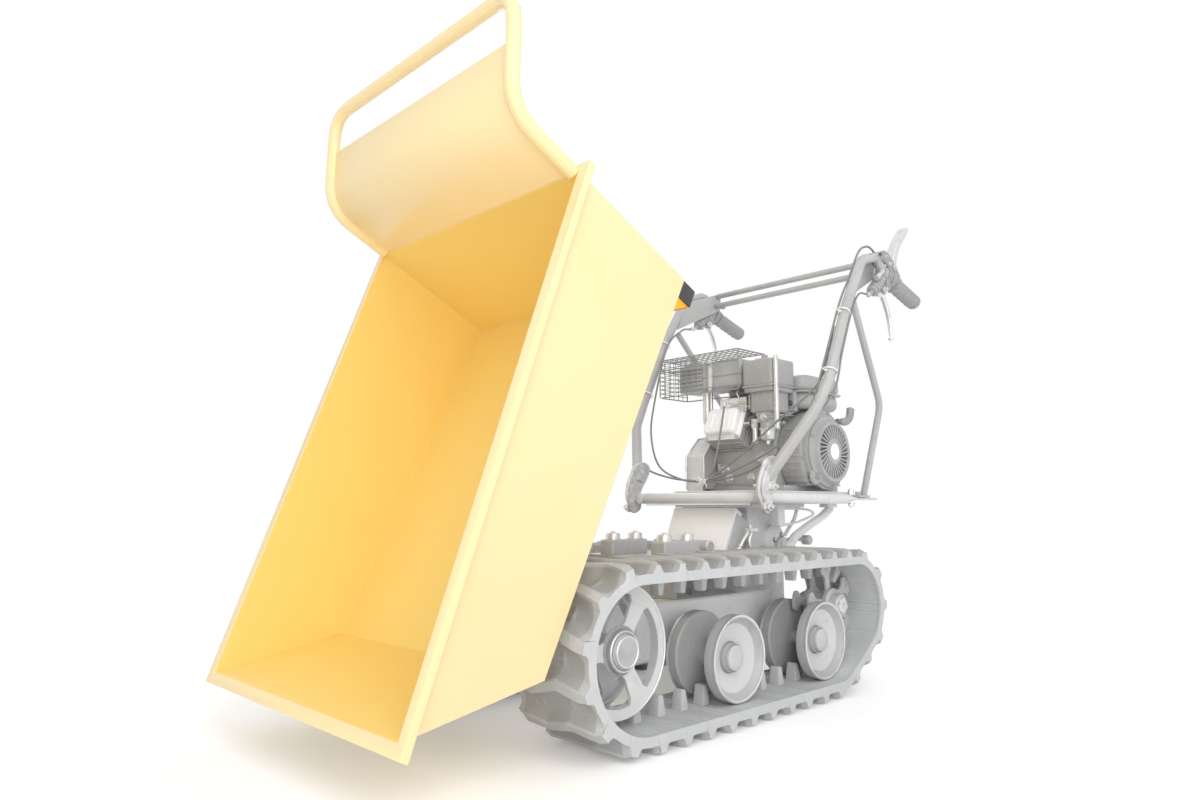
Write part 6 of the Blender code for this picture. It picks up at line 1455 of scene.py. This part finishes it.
def draw_clutch():
    """The clutch paddle on its curved bracket, with the cable that comes over the bar."""
    pivot = CLUTCH_PIVOT
    outline = [(0.002, 0.012), (0.022, 0.010), (0.030, 0.026), (0.040, 0.050), (0.063, 0.078), (0.100, 0.118),
               (0.092, 0.128), (0.055, 0.094), (0.027, 0.060), (0.012, 0.030)]
    line = eased([(0, *point) for point in outline + outline[:1]], 0.007)[:-1]
    blade, root = Shape(), Shape()
    blade.plate([(pivot.y + spot.y, pivot.z + spot.z) for spot in line], 0.2575, 0.2825)
    blade.piece("clutch_paddle_blade", "zinc", SLOT_OF["clutch_paddle"], "clutch_paddle", ("clutch_paddle",),
                bevel=0.0030, segments=3, smooth=50)
    root.box((-0.0118, -0.0052, -0.0030), (0.0118, 0.0055, 0.0240), 0.0022,
             matrix=Matrix.Translation(pivot + Vector((0, 0.0008, 0.0))) @ Matrix.Rotation(radians(-24), 4, "X"))
    root.rod(pivot + Vector((0.0150, 0, 0)), pivot - Vector((0.0150, 0, 0)), 0.0066, 24)
    root.piece("clutch_paddle_root", "slot", "dark_steel", "clutch_paddle", bevel=0.0005)
    arm = Shape()
    outline = [(0.838, 0.995), (0.850, 1.006), (0.872, 1.003), (0.898, 0.986), (0.926, 0.962), (0.946, 0.938),
               (0.930, 0.930), (0.905, 0.948), (0.880, 0.962), (0.862, 0.974), (0.848, 0.978)]
    for x in (0.2842, 0.2528):
        arm.plate(outline, x, x + 0.0030)
    arm.box((0.2530, 0.8470, 0.9990), (0.2868, 0.8640, 1.0040), 0.0012)
    arm.box((0.2530, 0.9260, 0.9380), (0.2868, 0.9400, 0.9450), 0.0012)
    arm.turned([(-0.0060, 0.0180), (-0.0060, 0.0214), (0.0060, 0.0214), (0.0060, 0.0180)],
               (0.2732, 0.9180, 0.9345), axis=(0.023, 0.962, -0.269), steps=36)
    for face in (1, -1):
        arm.rod(pivot + Vector((face * 0.0150, 0, 0)), pivot + Vector((face * 0.0185, 0, 0)), 0.0090, 24)
    arm.piece("clutch_bracket", "plastic", "dark_steel", bevel=0.0006)
    trim = Shape()
    trim.bolt((0.2885, 0.899, 0.971), (1, 0, 0), 0.0050, 0.0040)
    trim.bolt((0.2515, 0.899, 0.971), (-1, 0, 0), 0.0050, 0.0040)
    trim.rod((0.2688, 0.8460, 0.9960), (0.2696, 0.8640, 1.0010), 0.0056, 18)
    trim.rod((0.2685, 0.8380, 0.9990), (0.2688, 0.8470, 0.9960), 0.0040, 14)
    for y, z in ((0.8580, 0.9900), (0.8780, 0.9760), (0.9240, 0.9460)):
        trim.bolt((0.2872, y, z), (1, 0, 0), 0.0042, 0.0036)
    trim.piece("clutch_trim", "zinc", "bright_steel", bevel=0.0003)


def draw_throttle():
    """The throttle's perch and cable stop on the right."""
    shape = Shape()
    root, end = grip_line(-1)
    way = (end - root).normalized()
    shape.turned([(-0.0070, 0.0180), (-0.0070, 0.0216), (0.0070, 0.0216), (0.0070, 0.0180)], root - way * 0.010,
                 axis=way, steps=36)
    shape.rod((-0.270, 0.893, 0.9560), (-0.270, 0.893, 0.9650), 0.0130, 32)
    shape.rod((-0.270, 0.893, 0.9760), (-0.270, 0.893, 0.9790), 0.0068, 18)
    shape.tube(eased([(-0.270, 0.893, 0.9600), (-0.262, 0.872, 0.9640), (-0.258, 0.850, 0.9560),
                      (-0.256, 0.836, 0.9400)], 0.006), 0.0034, 12)
    shape.piece("throttle_perch", "plastic", "black_plastic", bevel=0.0005)


ROUTES = (
    [(0.060, 0.556, 0.500), (0.150, 0.566, 0.570), (0.2475, 0.585, 0.648), (0.2560, 0.625, 0.730),
     (0.2575, 0.650, 0.790)],
    [(0.050, 0.552, 0.452), (0.130, 0.540, 0.476), (0.200, 0.530, 0.512), (0.2500, 0.548, 0.560),
     (0.2860, 0.590, 0.632), (0.2865, 0.630, 0.722), (0.2850, 0.6820, 0.8240), (0.2830, 0.7220, 0.8720),
     (0.2780, 0.7700, 0.8820), (0.2720, 0.8000, 0.8890)],
    [(-0.110, 0.548, 0.446), (-0.175, 0.535, 0.480), (-0.225, 0.560, 0.560), (-0.2500, 0.600, 0.650),
     (-0.2560, 0.660, 0.810), (-0.2520, 0.718, 0.866), (-0.2640, 0.7660, 0.8800), (-0.2710, 0.7980, 0.8880)],
    [(-0.020, 0.556, 0.480), (-0.0060, 0.566, 0.560), (0.004, 0.572, 0.632)],
    [(0.020, 0.545, 0.436), (0.080, 0.530, 0.430), (0.130, 0.520, 0.427)],
)
TIE = Vector((-0.040, 0.550, 0.440))


def draw_cables():
    """Control cables on their smooth routes, with sleeves at their ends, and the nylon ties."""
    cables = Shape()
    for route in ROUTES:
        cables.tube(eased([TIE] + [Vector(point) for point in route], 0.010), 0.0024, 12)
    cables.tube(eased([(0.2500, 0.560, 0.600), (0.2590, 0.610, 0.722), (0.2590, 0.672, 0.842), (0.2600, 0.720, 0.914),
                       (0.2650, 0.762, 0.985), (0.2680, 0.790, 1.005), (0.2685, 0.815, 1.008),
                       (0.2685, 0.840, 0.998)], 0.008), 0.0026, 12)
    cables.tube(eased([(-0.030, 0.548, 0.446), (0.040, 0.548, 0.462), (0.140, 0.555, 0.505), (0.215, 0.566, 0.560),
                       (0.2500, 0.575, 0.625)], 0.010), 0.0022, 10)
    cables.tube(eased([(-0.048, 0.548, 0.440), (-0.130, 0.530, 0.450), (-0.205, 0.520, 0.475),
                       (-0.2480, 0.530, 0.520), (-0.2640, 0.556, 0.590)], 0.010), 0.0024, 12)
    cables.tube(eased([TIE, (-0.052, 0.556, 0.420), (-0.044, 0.570, 0.398), (-0.030, 0.580, 0.392)], 0.008),
                0.0024, 12)
    cables.piece("cables_smooth", "cable", SLOT_OF["control_cables"], stands_for=("control_cables",), bevel=0)
    ties = Shape()
    for place, axis, radius in (
            ((0.2720, 0.668, 0.822), (0, 0.089, 0.137), 0.0165),
            ((0.2730, 0.598, 0.678), (0, 0.088, 0.178), 0.0165),
            ((-0.2720, 0.668, 0.822), (0, 0.089, 0.137), 0.0165),
            ((-0.2730, 0.598, 0.678), (0, 0.088, 0.178), 0.0165),
            (TIE, (1, 0.1, 0.1), 0.0070), (TIE + Vector((-0.012, 0, 0)), (1, -0.1, 0), 0.0070)):
        ties.turned([(-0.0016, radius - 0.0012), (-0.0016, radius), (0.0016, radius), (0.0016, radius - 0.0012),
                     (-0.0016, radius - 0.0012)], place, axis=axis, steps=32)
        spot = Vector(place) + Vector((0, -radius, 0))
        ties.box((-0.0030, -0.0024, -0.0022), (0.0030, 0.0024, 0.0022), 0.0008, matrix=Matrix.Translation(spot))
        ties.tube([spot, spot + Vector((-0.004, -0.010, 0.004)), spot + Vector((-0.010, -0.014, 0.010))], 0.0010, 8)
    for x, z in ((0.016, 0.008), (-0.018, -0.010), (0.012, -0.014), (-0.014, 0.012)):
        ties.tube([TIE + Vector((0, -0.007, 0)), TIE + Vector((x, -0.012, z))], 0.0009, 6)
    ties.piece("nylon_ties", "tie", "pale_panel", bevel=0)
    sleeves = Shape()
    for route in (ROUTES[1], ROUTES[2]):
        end, before = Vector(route[-1]), Vector(route[-2])
        back = (before - end).normalized()
        sleeves.rod(end + back * 0.030, end + back * 0.002, 0.0042, 16)
        sleeves.rod(end + back * 0.014, end + back * 0.020, 0.0056, 6)
    for route in (ROUTES[3], ROUTES[4]):
        end, before = Vector(route[-1]), Vector(route[-2])
        sleeves.rod(end + (before - end).normalized() * 0.012, end, 0.0038, 14)
    sleeves.piece("cable_sleeves", "zinc", "bright_steel", bevel=0.0003)


class BARROW_OT_controls(bpy.types.Operator):
    """Draws grips, levers, paddle, throttle perch, cables and ties."""

    bl_idname = "barrow.controls"
    bl_label = "Controls and cables"

    def execute(self, context):
        for name, side in SIDES:
            draw_foot(name, side)
            draw_grip(name, side)
            draw_lever(name, side)
        for draw in (draw_clutch, draw_throttle, draw_cables):
            draw()
        return {"FINISHED"}


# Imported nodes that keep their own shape

NODE_FINISH = {
    "yellow": ("skip_tub", "spill_plate", "skip_handle", "skip_hinge"),
    "orange": ("skip_bearer",),
    "cap": ("bearer_cap_left", "bearer_cap_right"),
    "rubber": ("drive_belt",),
    "beam": ("chassis_beam_left", "chassis_beam_right", "front_cross_member"),
    "dark": ("bed_plate", "gearbox_casing", "rear_strut", "belt_guard"),
    "frame": ("bridge_channel", "handlebar_left", "handlebar_right", "brace_left", "brace_right",
              "upper_cross_tube", "lower_cross_tube"),
    # Bed tubes in the paler copy of the frame paint: painted light.
    "bed": ("front_cross_tube", "bed_side_tube_left", "bed_side_tube_right"),
    "zinc": ("hinge_pin", "engine_pulley", "gearbox_pulley"),
    "panel": ("front_panel",),
    "cast": ("engine_block",),
    "cover": ("blower_housing",),
    "plastic": ("fuel_cap", "throttle_lever"),
}
# Nodes whose edges stay sharp
SHARP = ("front_cross_member",)


class BARROW_OT_plain_pieces(bpy.types.Operator):
    """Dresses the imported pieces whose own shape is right."""

    bl_idname = "barrow.plain_pieces"
    bl_label = "Plain pieces"

    def execute(self, context):
        make_finishes(context.scene.barrow_paint)
        for finish, names in NODE_FINISH.items():
            for name in names:
                made = dressed(name, finish, 0.0 if name in SHARP else 0.0008)
                if name == "skip_tub":
                    paint_inside(made)
        return {"FINISHED"}


class VIEW3D_PT_barrow(bpy.types.Panel):
    """Lists the operators of the barrow."""

    bl_label = "Power Barrow"
    bl_space_type = "VIEW_3D"
    bl_region_type = "UI"
    bl_category = "Power Barrow"

    def draw(self, context):
        for step in STEPS:
            self.layout.operator(step.bl_idname)


STEPS = (BARROW_OT_stage, BARROW_OT_plain_pieces, BARROW_OT_tracks, BARROW_OT_wheels, BARROW_OT_engine,
         BARROW_OT_controls)
GROUPS = {"barrow_stage": StageSettings, "barrow_paint": PaintSettings, "barrow_track": TrackSettings,
          "barrow_wheels": WheelSettings}


def register():
    for group in GROUPS.values():
        bpy.utils.register_class(group)
    for name, group in GROUPS.items():
        setattr(bpy.types.Scene, name, PointerProperty(type=group))
    for step in STEPS:
        bpy.utils.register_class(step)
    bpy.utils.register_class(VIEW3D_PT_barrow)


def unregister():
    bpy.utils.unregister_class(VIEW3D_PT_barrow)
    for step in reversed(STEPS):
        bpy.utils.unregister_class(step)
    for name, group in GROUPS.items():
        delattr(bpy.types.Scene, name)
        bpy.utils.unregister_class(group)


def main():
    register()
    for step in STEPS:
        group, name = step.bl_idname.split(".")
        getattr(getattr(bpy.ops, group), name)()


if __name__ == "__main__":
    main()
